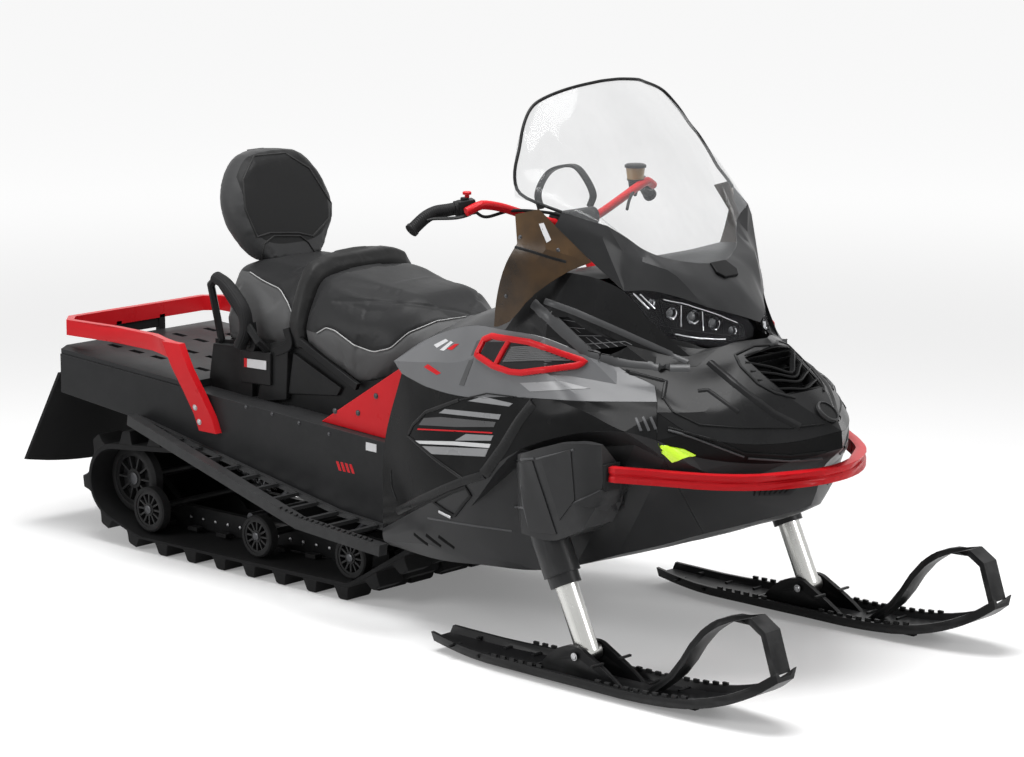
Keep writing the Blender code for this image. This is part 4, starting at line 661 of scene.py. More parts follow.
def make_grain_group():
    """Moulded grain: cell borders plus fine noise; Height is in shares of the grain, Patches is broad noise."""
    tree, given, out = group("Moulded_grain", [("Vector", "Vector", (0, 0, 0)), ("Scale", "Float", 900.0)],
                             [("Height", "Float"), ("Patches", "Float")])
    cells = tree.nodes.new("ShaderNodeTexVoronoi")
    cells.feature = "SMOOTH_F1"
    tree.links.new(given.outputs["Vector"], cells.inputs["Vector"])
    tree.links.new(given.outputs["Scale"], cells.inputs["Scale"])
    fine = noise_node(tree, given.outputs["Vector"], given.outputs["Scale"], 2.0)
    height = math_node(tree, "ADD", math_node(tree, "MULTIPLY", cells.outputs["Distance"], 0.7),
                       math_node(tree, "MULTIPLY", fine, 0.5))
    tree.links.new(height, out.inputs["Height"])
    broad = noise_node(tree, given.outputs["Vector"], 7.0, 4.0, 0.6)
    tree.links.new(broad, out.inputs["Patches"])
    return tree


def make_wear_group():
    """Edge wear: convex places from pointiness, broken up by noise; Mask is 1 where an edge is rubbed."""
    tree, given, out = group("Edge_wear", [("Vector", "Vector", (0, 0, 0)), ("Amount", "Float", 0.5)],
                             [("Mask", "Float")])
    shape = tree.nodes.new("ShaderNodeNewGeometry")
    sharp = tree.nodes.new("ShaderNodeMapRange")
    sharp.inputs["From Min"].default_value = 0.52
    sharp.inputs["From Max"].default_value = 0.62
    tree.links.new(shape.outputs["Pointiness"], sharp.inputs["Value"])
    broken = noise_node(tree, given.outputs["Vector"], 38.0, 4.0, 0.65)
    mask = math_node(tree, "MULTIPLY", sharp.outputs[0], broken, True)
    tree.links.new(math_node(tree, "MULTIPLY", mask, given.outputs["Amount"], True), out.inputs["Mask"])
    return tree


def make_dust_group():
    """Dust that settles on surfaces facing up: upward share of the normal times broad noise."""
    tree, given, out = group("Settled_dust", [("Vector", "Vector", (0, 0, 0)), ("Amount", "Float", 0.2)],
                             [("Mask", "Float")])
    shape = tree.nodes.new("ShaderNodeNewGeometry")
    parts = tree.nodes.new("ShaderNodeSeparateXYZ")
    tree.links.new(shape.outputs["Normal"], parts.inputs[0])
    up = math_node(tree, "MAXIMUM", parts.outputs["Z"], 0.0)
    cloud = noise_node(tree, given.outputs["Vector"], 11.0, 5.0, 0.6)
    mask = math_node(tree, "MULTIPLY", math_node(tree, "MULTIPLY", up, cloud), given.outputs["Amount"], True)
    tree.links.new(mask, out.inputs["Mask"])
    return tree


class Finish:
    """A material under construction: its tree, Object coordinates and Principled shader."""

    def __init__(self, name):
        self.material = bpy.data.materials.new(name)
        self.material.use_nodes = True
        self.tree = self.material.node_tree
        self.tree.nodes.clear()
        self.out = self.tree.nodes.new("ShaderNodeOutputMaterial")
        self.shader = self.tree.nodes.new("ShaderNodeBsdfPrincipled")
        self.tree.links.new(self.shader.outputs[0], self.out.inputs["Surface"])
        self.place = self.tree.nodes.new("ShaderNodeTexCoord").outputs["Object"]

    def use(self, name, **values):
        node = self.tree.nodes.new("ShaderNodeGroup")
        node.node_tree = bpy.data.node_groups[name]
        if "Vector" in node.inputs:
            self.tree.links.new(self.place, node.inputs["Vector"])
        for key, value in values.items():
            if isinstance(value, (int, float)):
                node.inputs[key].default_value = value
            else:
                self.tree.links.new(value, node.inputs[key])
        return node

    def mixed(self, factor, a, b):
        """Colour mix; a and b are sockets or colours."""
        node = self.tree.nodes.new("ShaderNodeMix")
        node.data_type = "RGBA"
        node.clamp_factor = True
        if isinstance(factor, (int, float)):
            node.inputs["Factor"].default_value = factor
        else:
            self.tree.links.new(factor, node.inputs["Factor"])
        sockets = [s for s in node.inputs if s.type == "RGBA"]
        for socket, value in zip(sockets, (a, b)):
            if isinstance(value, bpy.types.NodeSocket):
                self.tree.links.new(value, socket)
            else:
                socket.default_value = (*value[:3], 1.0)
        return [s for s in node.outputs if s.type == "RGBA"][0]

    def ranged(self, value, low, high, start=0.0, end=1.0):
        node = self.tree.nodes.new("ShaderNodeMapRange")
        for key, number in (("From Min", start), ("From Max", end), ("To Min", low), ("To Max", high)):
            node.inputs[key].default_value = number
        self.tree.links.new(value, node.inputs["Value"])
        return node.outputs[0]

    def math(self, operation, a, b=None, clamp=False):
        return math_node(self.tree, operation, a, b, clamp)

    def colour(self, socket):
        self.tree.links.new(socket, self.shader.inputs["Base Color"])

    def rough(self, socket):
        self.tree.links.new(socket, self.shader.inputs["Roughness"])

    def bump(self, height, distance, strength=1.0):
        node = self.tree.nodes.new("ShaderNodeBump")
        node.inputs["Distance"].default_value = distance
        node.inputs["Strength"].default_value = strength
        self.tree.links.new(height, node.inputs["Height"])
        self.tree.links.new(node.outputs[0], self.shader.inputs["Normal"])
        return node

    def axes(self):
        node = self.tree.nodes.new("ShaderNodeSeparateXYZ")
        self.tree.links.new(self.place, node.inputs[0])
        return node.outputs


def lighter(colour, share):
    return tuple(c + (1.0 - c) * share for c in tuple(colour)[:3])


def darker(colour, share):
    return tuple(c * (1.0 - share) for c in tuple(colour)[:3])


def solid_finish(name, colour, roughness, grain, height, wear, dust, specular=0.5, metallic=0.0, coat=0.0):
    """Moulded, painted or cast finish: grain bump, patches of tone and gloss, rubbed edges and settled dust."""
    f = Finish(name)
    colour = tuple(colour)[:3]
    grained = f.use("Moulded_grain", Scale=grain)
    tone = f.mixed(grained.outputs["Patches"], darker(colour, 0.15), lighter(colour, 0.012))
    worn = f.use("Edge_wear", Amount=wear)
    tone = f.mixed(worn.outputs["Mask"], tone, lighter(colour, 0.16))
    dusty = f.use("Settled_dust", Amount=dust)
    f.colour(f.mixed(dusty.outputs["Mask"], tone, (0.22, 0.22, 0.22)))
    smooth, dull = max(0.03, roughness - 0.05), min(1.0, roughness + 0.06)
    gloss = f.ranged(grained.outputs["Patches"], smooth, dull, 0.3, 0.7)
    f.rough(f.math("ADD", gloss, f.math("MULTIPLY", dusty.outputs["Mask"], 0.5), True))
    if height > 0.0:
        f.bump(grained.outputs["Height"], sizes().grain * height, 0.6)
    f.shader.inputs["Metallic"].default_value = metallic
    f.shader.inputs["Coat Weight"].default_value = coat
    f.shader.inputs["Coat Roughness"].default_value = 0.08
    f.shader.inputs["Specular IOR Level"].default_value = specular
    return f


class SLED_OT_finishes(bpy.types.Operator):
    """Makes the shader groups and the materials"""
    bl_idname = "sled.finishes"
    bl_label = "Finishes"

    def execute(self, context):
        for maker in (make_grain_group, make_wear_group, make_dust_group):
            maker()
        c = colours()
        for key, *values in plain_finishes(c):
            FINISHES[key] = solid_finish(*values).material
        made = {
            "reflector": reflector_finish(c.reflector), "grip": grip_finish(), "screen": screen_finish(),
            "arch": arch_vinyl(darker(c.vinyl, 0.86)),
            "lens": clear_finish("lamp_lens", (0.10, 0.10, 0.11), 0.02, 0.97), "amber": amber_finish(c.amber),
        }
        FINISHES.update({key: value.material for key, value in made.items()})
        return {"FINISHED"}


def plain_finishes(c):
    """Rows of key and solid_finish's values; specular level, metallic and coat come last, where given."""
    return (
        ("body", "dark_matte_plastic", c.body, 0.40, 1100.0, 0.7, 0.10, 0.02, 0.12),
        ("black", "black_moulding", c.black, 0.36, 1000.0, 0.6, 0.10, 0.02, 0.09),
        ("hood", "satin_black_shell", darker(c.body, 0.55), 0.26, 1500.0, 0.25, 0.08, 0.01, 0.11),
        # edge: lighter grey that paints highlights on the lip's and the tower's edge ridges; it also colours the
        # hood's side slots
        ("edge", "rubbed_edge_grey", (0.060, 0.061, 0.064), 0.36, 1300.0, 0.3, 0.0, 0.0, 0.2),
        # pit: near-black bars that stand for the belly's slots, painted shade of their dark insides
        ("pit", "deep_black", (0.0015, 0.0015, 0.0016), 0.6, 900.0, 0.2, 0.0, 0.0, 0.03),
        ("satin", "satin_grey_moulding", lighter(c.body, 0.012), 0.34, 1300.0, 0.4, 0.10, 0.01, 0.14),
        ("gloss", "gloss_black_moulding", darker(c.black, 0.3), 0.24, 1500.0, 0.08, 0.06, 0.01, 0.055),
        ("grey", "grey_side_paint", c.grey, 0.32, 1700.0, 0.15, 0.06, 0.01, 0.28),
        ("red", "red_paint", c.red, 0.30, 1300.0, 0.25, 0.10, 0.0, 0.13),
        ("tunnel", "tunnel_coating", (0.0085, 0.0088, 0.0096), 0.38, 1400.0, 0.5, 0.15, 0.03, 0.11),
        ("rubber", "track_rubber", (0.0050, 0.0050, 0.0054), 0.62, 700.0, 1.6, 0.15, 0.02, 0.07),
        ("wheel", "wheel_moulding", (0.0045, 0.0045, 0.0050), 0.34, 900.0, 0.4, 0.25, 0.02, 0.11),
        ("steel", "dark_steel", (0.045, 0.046, 0.05), 0.38, 1500.0, 0.3, 0.5, 0.04, 0.5, 0.85),
        ("silver", "brushed_silver", (0.56, 0.56, 0.54), 0.26, 1800.0, 0.10, 0.20, 0.02, 0.5, 1.0),
        ("zinc", "zinc_bolts", (0.42, 0.42, 0.43), 0.32, 1500.0, 0.2, 0.3, 0.02, 0.5, 1.0),
        ("ski", "ski_plastic", (0.0040, 0.0041, 0.0046), 0.34, 900.0, 0.8, 0.20, 0.02, 0.11),
        ("pale", "pale_plate", (0.55, 0.55, 0.56), 0.36, 1500.0, 0.1, 0.05, 0.02),
        # grey_border: grey borders of the shoulder windows, and also the painted shade in the side panel's fold
        ("grey_border", "grey_border", (0.045, 0.046, 0.048), 0.38, 1300.0, 0.4, 0.1, 0.02, 0.3),
        ("glass_eye", "projector_eye", (0.05, 0.055, 0.06), 0.04, 1500.0, 0.0, 0.0, 0.0, 0.5, 0.0, 1.0),
        ("piping", "pale_piping", (0.33, 0.33, 0.33), 0.45, 1200.0, 0.3, 0.05, 0.02),
        ("mesh", "vent_mesh", (0.006, 0.006, 0.007), 0.5, 900.0, 0.3, 0.2, 0.01, 0.12),
        ("brass", "fluid_window", (0.34, 0.21, 0.06), 0.30, 1500.0, 0.1, 0.05, 0.02, 0.5, 0.0, 0.4),
        ("chrome", "lamp_reflector", (0.62, 0.63, 0.65), 0.12, 1500.0, 0.05, 0.05, 0.0, 0.5, 1.0),
        ("stripe", "grey_stripe_film", (0.20, 0.202, 0.208), 0.30, 1500.0, 0.1, 0.05, 0.01),
        ("stripe_dark", "dark_stripe_film", (0.035, 0.035, 0.037), 0.30, 1500.0, 0.1, 0.05, 0.01),
        ("louvre", "louvre_grey", (0.050, 0.051, 0.053), 0.42, 1100.0, 0.5, 0.1, 0.02),
    )


def vinyl_shader(name, scale, roughness, folds=True):
    """Coated seat cloth: leather-like grain, slight sheen, drifting gloss, and creases where it is pulled."""
    f = Finish(name)
    grained = f.use("Moulded_grain", Scale=scale)
    f.rough(f.ranged(grained.outputs["Patches"], *roughness, 0.3, 0.7))
    height = grained.outputs["Height"]
    if folds:
        creases = noise_node(f.tree, f.place, 16.0, 3.0, 0.5, (1.0, 2.2, 1.0))
        height = f.math("ADD", height, f.math("MULTIPLY", creases, 3.0))
    f.bump(height, VINYL_RELIEF, 0.7)
    f.shader.inputs["Sheen Weight"].default_value = 0.03
    f.shader.inputs["Specular IOR Level"].default_value = 0.15
    return f, grained.outputs["Patches"]


VINYL_RELIEF = 0.00022


def arch_vinyl(colour):
    """Seat cloth of one colour, with tone that drifts and worn edges."""
    f, patches = vinyl_shader("seat_arch_vinyl", 700.0, (0.40, 0.54))
    f.shader.inputs["Sheen Roughness"].default_value = 0.4
    worn = f.use("Edge_wear", Amount=0.25)
    tone = f.mixed(patches, darker(colour, 0.22), lighter(colour, 0.02))
    f.colour(f.mixed(worn.outputs["Mask"], tone, lighter(colour, 0.10)))
    return f


def grip_finish():
    """Rubber grip: rings of small ribs around the bar."""
    f = solid_finish("rubber_grip", (0.006, 0.006, 0.0065), 0.50, 700.0, 0.8, 0.1, 0.01, 0.10)
    ribs = f.math("SINE", f.math("MULTIPLY", f.axes()["Y"], 1400.0))
    f.bump(ribs, 0.0004, 0.8)
    return f


def reflector_finish(colour):
    """Prism reflector: a small waffle below a clear skin, in yellow-green with a faint painted glow from
    emission.
    """
    f = Finish("side_reflector")
    axes = f.axes()
    waffle = f.math("MULTIPLY", f.math("SINE", f.math("MULTIPLY", axes["X"], 1500.0)),
                    f.math("SINE", f.math("MULTIPLY", axes["Z"], 1500.0)))
    f.colour(f.mixed(f.ranged(waffle, 0.0, 1.0, -1.0, 1.0), darker(colour, 0.10), colour))
    f.bump(waffle, 0.0002, 0.3)
    f.rough(f.ranged(waffle, 0.22, 0.36, -1.0, 1.0))
    # Painted glow: the reflector emits a little of its own colour, though it is no lamp
    f.tree.links.new(f.mixed(f.ranged(waffle, 0.0, 1.0, -1.0, 1.0), darker(colour, 0.25), darker(colour, 0.1)),
                     f.shader.inputs["Emission Color"])
    f.shader.inputs["Emission Strength"].default_value = 0.25
    f.shader.inputs["Coat Weight"].default_value = 0.6
    return f


def clear_finish(name, colour, roughness, clear):
    """Clear plastic with faint smears; most light goes straight through."""
    f = Finish(name)
    smear = noise_node(f.tree, f.place, 22.0, 4.0, 0.6)
    f.colour(f.mixed(smear, colour, darker(colour, 0.06)))
    f.rough(f.ranged(smear, roughness, roughness + 0.05))
    f.shader.inputs["IOR"].default_value = 1.45
    f.shader.inputs["Transmission Weight"].default_value = 0.0
    f.tree.links.new(f.ranged(smear, 1.0 - clear, 1.06 - clear), f.shader.inputs["Alpha"])
    f.shader.inputs["Specular IOR Level"].default_value = 0.5
    return f


def screen_finish():
    """Clear grey windshield: see-through grey with faint vertical smears."""
    f = Finish("clear_windshield")
    smear = noise_node(f.tree, f.place, 5.0, 4.0, 0.6, (1.0, 1.0, 0.25))
    f.colour(f.mixed(smear, (0.30, 0.31, 0.32), (0.22, 0.225, 0.23)))
    f.rough(f.ranged(smear, 0.03, 0.08))
    f.tree.links.new(f.ranged(smear, 0.10, 0.17, 0.3, 0.7), f.shader.inputs["Alpha"])
    f.shader.inputs["Specular IOR Level"].default_value = 0.55
    return f


def amber_finish(colour):
    """Smoked amber plastic: nearly opaque, deeper where the noise thickens, glossy."""
    f = Finish("smoked_amber")
    cloud = noise_node(f.tree, f.place, 9.0, 3.0, 0.5)
    f.colour(f.mixed(f.ranged(cloud, 0.0, 1.0, 0.35, 0.65), darker(colour, 0.7), colour))
    f.rough(f.ranged(cloud, 0.20, 0.28))
    f.tree.links.new(f.ranged(cloud, 1.0, 0.95, 0.3, 0.7), f.shader.inputs["Alpha"])
    f.shader.inputs["Specular IOR Level"].default_value = 0.30
    return f


# Panels and frame pieces that keep their CAD shape

PANELS = (
    # node, finish, crease angle, steps, rounding as a share of the usual; * stands for left and right
    ("hood", "hood", 15.0, 5, 1.0), ("front_lip", "gloss", 16.0, 4, 1.0), ("cowl", "satin", 20.0, 5, 1.0),
    ("shoulder_*", "hood", 13.0, 5, 1.0), ("side_panel_*", "grey", 14.0, 5, 1.0),
    ("shroud_*", "gloss", 16.0, 5, 1.0), ("lower_side_*", "satin", 15.0, 5, 1.0),
    ("belly_pan", "satin", 16.0, 4, 1.0), ("tank_cover", "body", 24.0, 4, 1.0), ("dash", "black", 24.0, 4, 1.0),
    ("deflector_*", "amber", 24.0, 4, 0.6), ("windshield", "screen", 30.0, 5, 0.4),
    ("nose_grille", "gloss", 30.0, 2, 0.6),
    ("headlight_*", "lens", 30.0, 4, 0.6), ("frame_plate_*", "red", 30.0, 1, 2.0),
    ("front_bumper", "red", 34.0, 4, 1.4), ("rear_rail", "red", 30.0, 2, 2.4),
    ("leg_sleeve_*", "satin", 32.0, 3, 1.4), ("leg_*", "silver", 32.0, 3, 0.6), ("ski_*", "ski", 30.0, 3, 1.2),
    ("handlebar", "red", 40.0, 4, 0.5), ("tunnel", "tunnel", 30.0, 1, 1.6), ("rear_deck", "body", 30.0, 1, 1.0),
    ("snow_flap", "rubber", 30.0, 2, 1.0), ("running_board_*", "tunnel", 30.0, 1, 1.2),
    ("seat_base", "black", 30.0, 2, 1.6), ("front_arm", "steel", 40.0, 2, 0.5),
    ("rear_arm", "steel", 40.0, 2, 0.5), ("slide_rail_*", "black", 30.0, 1, 0.8),
    ("drive_axle", "wheel", 34.0, 3, 0.8), ("engine", "steel", 30.0, 1, 2.0),
)


class SLED_OT_panels(bpy.types.Operator):
    """Curves and rounds the rigid pieces that keep the frame's shape"""
    bl_idname = "sled.panels"
    bl_label = "Panels and rigid pieces"

    def execute(self, context):
        for nodes, finish, crease, steps, share in PANELS:
            for side in ("left", "right")[:1 + nodes.count("*")]:
                node = nodes.replace("*", side)
                dressed(node + "_shell", node, FINISHES[finish], crease, steps, sizes().bevel * share)
        return {"FINISHED"}


class SLED_OT_screen_trim(bpy.types.Operator):
    """Dark trim along the windshield's free edge: the farthest point in each direction of the front view"""
    bl_idname = "sled.screen_trim"
    bl_label = "Windshield trim"

    def execute(self, context):
        mesh = bpy.data.objects["windshield_shell"].data
        points = np.array([v.co for v in mesh.vertices])
        turn = np.degrees(np.arctan2(points[:, 2] - SCREEN_HEART_Z, points[:, 1]))
        far = np.hypot(points[:, 2] - SCREEN_HEART_Z, points[:, 1])
        path = []
        for start in np.arange(SCREEN_LOW_TURN, 90.0, SCREEN_STEP):
            near = np.flatnonzero(np.abs(turn - start) < SCREEN_STEP / 2.0)
            if len(near):
                path.append(points[near[far[near].argmax()]])
        path = np.array(path)
        windows = np.stack([np.roll(path, k, 0) for k in (-3, -2, -1, 0, 1, 2, 3)])
        path[3:-3] = np.median(windows, 0)[3:-3]
        for _ in range(3):
            path[1:-1] = (path[:-2] + path[1:-1] + path[2:]) / 3.0
        path = np.vstack([path, (path * (1.0, -1.0, 1.0))[::-1]])
        new_piece("windshield_trim", [swept(path, round_profile(sizes().screen_trim, 10))], "black")
        return {"FINISHED"}


SCREEN_HEART_Z, SCREEN_LOW_TURN, SCREEN_STEP = 1.17, -6.0, 2.0


class SLED_OT_deflector_trim(bpy.types.Operator):
    """Pale strip, a black bar of painted shade along the fold, and screws of the smoked deflectors"""
    bl_idname = "sled.deflector_trim"
    bl_label = "Deflector trim"

    def execute(self, context):
        tree = surface_tree("deflector_right_shell")
        laid_plates("deflector_strips", tree, DEFLECTOR_STRIPS, "pale", 6, 3, slot="grey_plastic")
        # The fold line is a black bar: painted shade of the crease
        laid_bars("deflector_folds", tree, DEFLECTOR_FOLD_SHADE, "black", soft=0.4)
        screws = [bolt(point, normal, SCREW_RADIUS, SCREW_HEIGHT)
                  for point, normal in zip(*seen(tree, DEFLECTOR_SCREWS))]
        new_piece("deflector_screws", both_sides(screws), "steel", slot="dark_metal")
        return {"FINISHED"}


DEFLECTOR_STRIPS = (((((539, 224), (543.5, 223), (551, 240), (546.5, 243))), 0.0012, 0.002),)
# A black bar along the deflector's fold: painted shade of the crease
DEFLECTOR_FOLD_SHADE = (([(515, 247), (530, 251), (548, 257), (566, 262)], 0.007, 0.0022),)
DEFLECTOR_SCREWS = ((520, 237), (506, 296), (558, 250))
SCREW_RADIUS, SCREW_HEIGHT = 0.0042, 0.0028


class SLED_OT_lamps(bpy.types.Operator):
    """Headlight inside: dark housing, projector eyes and bright strips behind the lens"""
    bl_idname = "sled.lamps"
    bl_label = "Headlights"

    def execute(self, context):
        tree = surface_tree("headlight_right_shell")
        laid_plates("headlight_housings", tree, LAMP_HOUSINGS, "gloss", 10, 16)
        eyes, domes = [], []
        for u, v, radius in LAMP_EYES:
            (place,), (normal,) = seen(tree, [(u, v)], -EYE_DEPTH)
            facing = unit(normal + np.array(EYE_LEAN))
            back = place - facing * EYE_FOOT
            eyes.append(turned_between(back, back + facing * BEZEL_LENGTH, [
                (share, radius * wide) for share, wide in BEZEL_SHARES], 28))
            domes.append(turned_between(back, back + facing * DOME_LENGTH, [
                (share, radius * wide) for share, wide in DOME_SHARES], 24))
        new_piece("headlight_bezels", both_sides(eyes), "chrome", slot="silver_metal")
        new_piece("headlight_projectors", both_sides(domes), "glass_eye", slot="lamp_glass")
        laid_bars("headlight_strips", tree, LAMP_STRIPS, "chrome", low=-LAMP_DEPTH, slot="silver_metal")
        laid_bars("headlight_fins", tree, LAMP_FINS, "gloss", low=-LAMP_DEPTH)
        return {"FINISHED"}


LAMP_DEPTH, EYE_DEPTH, EYE_FOOT, BEZEL_LENGTH, DOME_LENGTH = 0.014, 0.012, 0.004, 0.008, 0.007
EYE_LEAN = (1.2, 0.0, -0.1)
BEZEL_SHARES = ((0.0, 0.6), (1.0, 1.0), (1.15, 0.98), (0.5, 0.72), (0.2, 0.4), (0.2, 0.0))
DOME_SHARES = ((0.0, 0.62), (0.45, 0.60), (0.8, 0.42), (1.0, 0.15), (1.02, 0.0))
LAMP_HOUSINGS = ((((629, 292), (744, 325), (748, 339), (668, 340)), -LAMP_DEPTH, 0.004),)
LAMP_EYES = ((672, 314, 0.016), (693, 318, 0.018), (714, 324, 0.017), (732, 329, 0.012), (652, 303, 0.010))
LAMP_STRIPS = (
    ([(634, 293), (642, 301), (650, 309)], 0.004, -0.008),
    ([(641, 294), (649, 302), (656, 309)], 0.003, -0.008),
    ([(664, 300), (690, 306), (716, 314), (738, 323)], 0.0025, -0.008),
    ([(676, 334), (700, 338), (726, 338)], 0.003, -0.008),
    ([(703, 312), (704, 330)], 0.0022, -0.008), ([(682, 306), (682, 326)], 0.0022, -0.008),
)
LAMP_FINS = (
    ([(661, 326), (690, 331), (722, 334), (742, 334)], 0.004, -0.005),
    ([(660, 299), (664, 320), (676, 336)], 0.003, -0.005), ([(722, 317), (724, 336)], 0.003, -0.005),
)


class SLED_OT_shoulders(bpy.types.Operator):
    """Lattice window, its grey border and the ridges of each shoulder panel"""
    bl_idname = "sled.shoulders"
    bl_label = "Shoulder details"

    def execute(self, context):
        tree = surface_tree("shoulder_right_shell", "side_panel_right_shell", "hood_shell")
        back, corners, out = stretched_patch(tree, WINDOW_CORNERS, WINDOW_LIFT, WINDOW_WALL)
        new_piece("shoulder_mesh_backs", both_sides([back]), "mesh")
        bars = []
        a, b, c, d = corners + out * WINDOW_LIFT
        for share in np.linspace(*LATTICE_SHARES):
            for start, end in ((a + (b - a) * share, d + (c - d) * min(1.0, share + LATTICE_SLANT)),
                               (a + (d - a) * share, b + (c - b) * share)):
                bars.append(swept(np.linspace(start, end, 6), round_profile(LATTICE_RADIUS, 6)))
        new_piece("shoulder_lattices", both_sides(bars), "stripe")
        laid_bars("shoulder_borders", tree, WINDOW_BORDERS, "grey_border", low=-0.002, soft=0.3,
                  slot="dark_plastic")
        return {"FINISHED"}


WINDOW_LIFT, WINDOW_WALL, LATTICE_RADIUS = 0.0006, 0.004, 0.0010
LATTICE_SHARES, LATTICE_SLANT = (0.12, 0.88, 5), 0.18
WINDOW_CORNERS = ((541, 304), (574, 316), (632, 345), (587, 349))
WINDOW_BORDERS = (
    ([(533, 303), (556, 325), (582, 350), (600, 360)], 0.036, 0.0032),
    ([(600, 359), (630, 365), (662, 368), (690, 368)], 0.030, 0.0032),
    ([(545, 301), (575, 312), (612, 328), (650, 345), (688, 362)], 0.016, 0.0032),
)


class SLED_OT_vents(bpy.types.Operator):
    """Red frames around the side vents, their divider, ribbed grey louvres and dark backs"""
    bl_idname = "sled.vents"
    bl_label = "Side vents"

    def execute(self, context):
        tree = surface_tree("side_panel_right_shell", "shoulder_right_shell")
        ring = laid_line(tree, VENT_RING, box_profile(*VENT_RING_BAR), closed=True, step=3.0)
        divider = laid_line(tree, VENT_DIVIDER, box_profile(*VENT_DIVIDER_BAR))
        for side, parts in (("right", [ring, divider]), ("left", [mirrored(ring), mirrored(divider)])):
            piece = new_piece("vent_frame_%s_ring" % side, parts, "red", bevel=0.0008, slot="red_paint")
            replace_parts(piece, "vent_frame_" + side)
        laid_plates("vent_backs", tree, alike(VENT_BACKS, 0.0012, 0.003), "mesh", 8, 8)
        louvres = []
        upper, lower, far_upper, far_lower = (np.array(place) for place in LOUVRE_ENDS)
        for share in np.linspace(*LOUVRE_SHARES):
            start, end = upper * (1 - share) + lower * share, far_upper * (1 - share) + far_lower * share
            louvres.append([start, (start + end) / 2.0 - (0.0, 1.0), end])
        laid_bars("vent_louvres", tree, alike(louvres, 0.0042, 0.0048), "louvre", low=0.0, slot="grey_plastic")
        return {"FINISHED"}


VENT_RING = ((477.5, 355), (485, 340), (493, 336.5), (530, 342), (585, 362), (577, 366), (522, 373), (511, 372),
             (494, 366))
VENT_DIVIDER = ((510, 341), (504, 351), (497, 364))
# width of the bar, how deep it sinks and how high it stands
VENT_RING_BAR, VENT_DIVIDER_BAR = (0.0155, -0.001, 0.0095), (0.013, -0.001, 0.0085)
VENT_BACKS = (((511, 343), (529, 344), (579, 362), (500, 364)),
              ((500, 364), (579, 362), (522, 371), (511, 370)),
              ((481, 354), (487, 342), (505, 342), (495, 364)))
LOUVRE_ENDS = ((513, 346), (503, 363), (533, 346), (575, 362))
LOUVRE_SHARES = (0.10, 0.90, 8)


class SLED_OT_stripes(bpy.types.Operator):
    """Plain stripe films on the black sides, a darker grey patch of painted shade in the side panel's fold, and
    the ridge that frames them
    """
    bl_idname = "sled.stripes"
    bl_label = "Side stripes"

    def execute(self, context):
        tree = surface_tree("shroud_right_shell", "side_panel_right_shell", "lower_side_right_shell")
        for name, finish, films in STRIPE_FILMS:
            laid_plates(name, tree, alike(films, FILM_LIFT, FILM_WALL), finish, 5, 14)
        laid_bars("side_ridges", tree, RIDGES, "hood", low=-0.002, soft=0.3)
        return {"FINISHED"}


FILM_LIFT, FILM_WALL = 0.0009, 0.0012
STRIPE_FILMS = (
    ("stripes_grey", "stripe", (
        ((468, 401), (483, 396.5), (513, 403.5), (509, 406.5)),
        ((439, 413), (445, 409), (501, 414.5), (499, 419.5)),
        ((455, 440.5), (466, 434), (493.5, 435.5), (491, 440.7)),
        ((422, 446), (488.5, 448.8), (485.2, 456.6), (432, 454)))),
    ("stripes_pale", "pale", (((415, 440.6), (454, 441.4), (454, 445.2), (420, 443.8)),
                              ((454, 441.4), (490.8, 444), (489.2, 448), (454, 445.2)))),
    ("stripes_red", "red", (((418, 428.4), (455, 430.2), (455, 431.6), (417.4, 429.8)),
                            ((455, 430.2), (492.5, 432.2), (492, 433.6), (455, 431.6)))),
    ("stripes_dark", "stripe_dark", (((424, 418), (440, 417), (496, 422), (494, 427)),
                                     ((424, 418), (494, 427), (456, 427), (419, 425)))),
    ("stripes_shoulder", "stripe", (((520, 383), (560, 381), (590, 388.5), (530, 391.5)),)),
    # A darker grey patch in the side panel's fold: painted shade of the crease, not a stripe
    ("side_fold_painted_shade", "grey_border", (((477, 341), (481, 339.5), (464, 386), (459, 385)),)),
    ("stripes_accent", "red", (((447, 349), (455, 344), (459, 344), (452, 350)),
                               ((424, 367), (428, 364), (441, 373), (437, 375)))),
    ("stripes_accent_pale", "pale", (((434, 345), (446, 339), (448.5, 341), (437, 348)),
                                     ((440, 350), (451, 341), (453.5, 342.5), (444, 351)))),
)
RIDGES = (
    ([(533, 403), (519, 421), (503, 448), (484, 474)], 0.030, 0.0060),
    ([(484, 475), (464, 481), (444, 489), (420, 500), (398, 511)], 0.022, 0.0055),
    ([(463, 479), (435, 459), (408, 436), (413, 425), (426, 412), (459, 400)], 0.009, 0.0035),
    ([(459, 400), (487, 393.5), (532, 399)], 0.0035, 0.0022),
    ([(391, 470), (392, 487), (397, 501)], 0.004, 0.002),
)


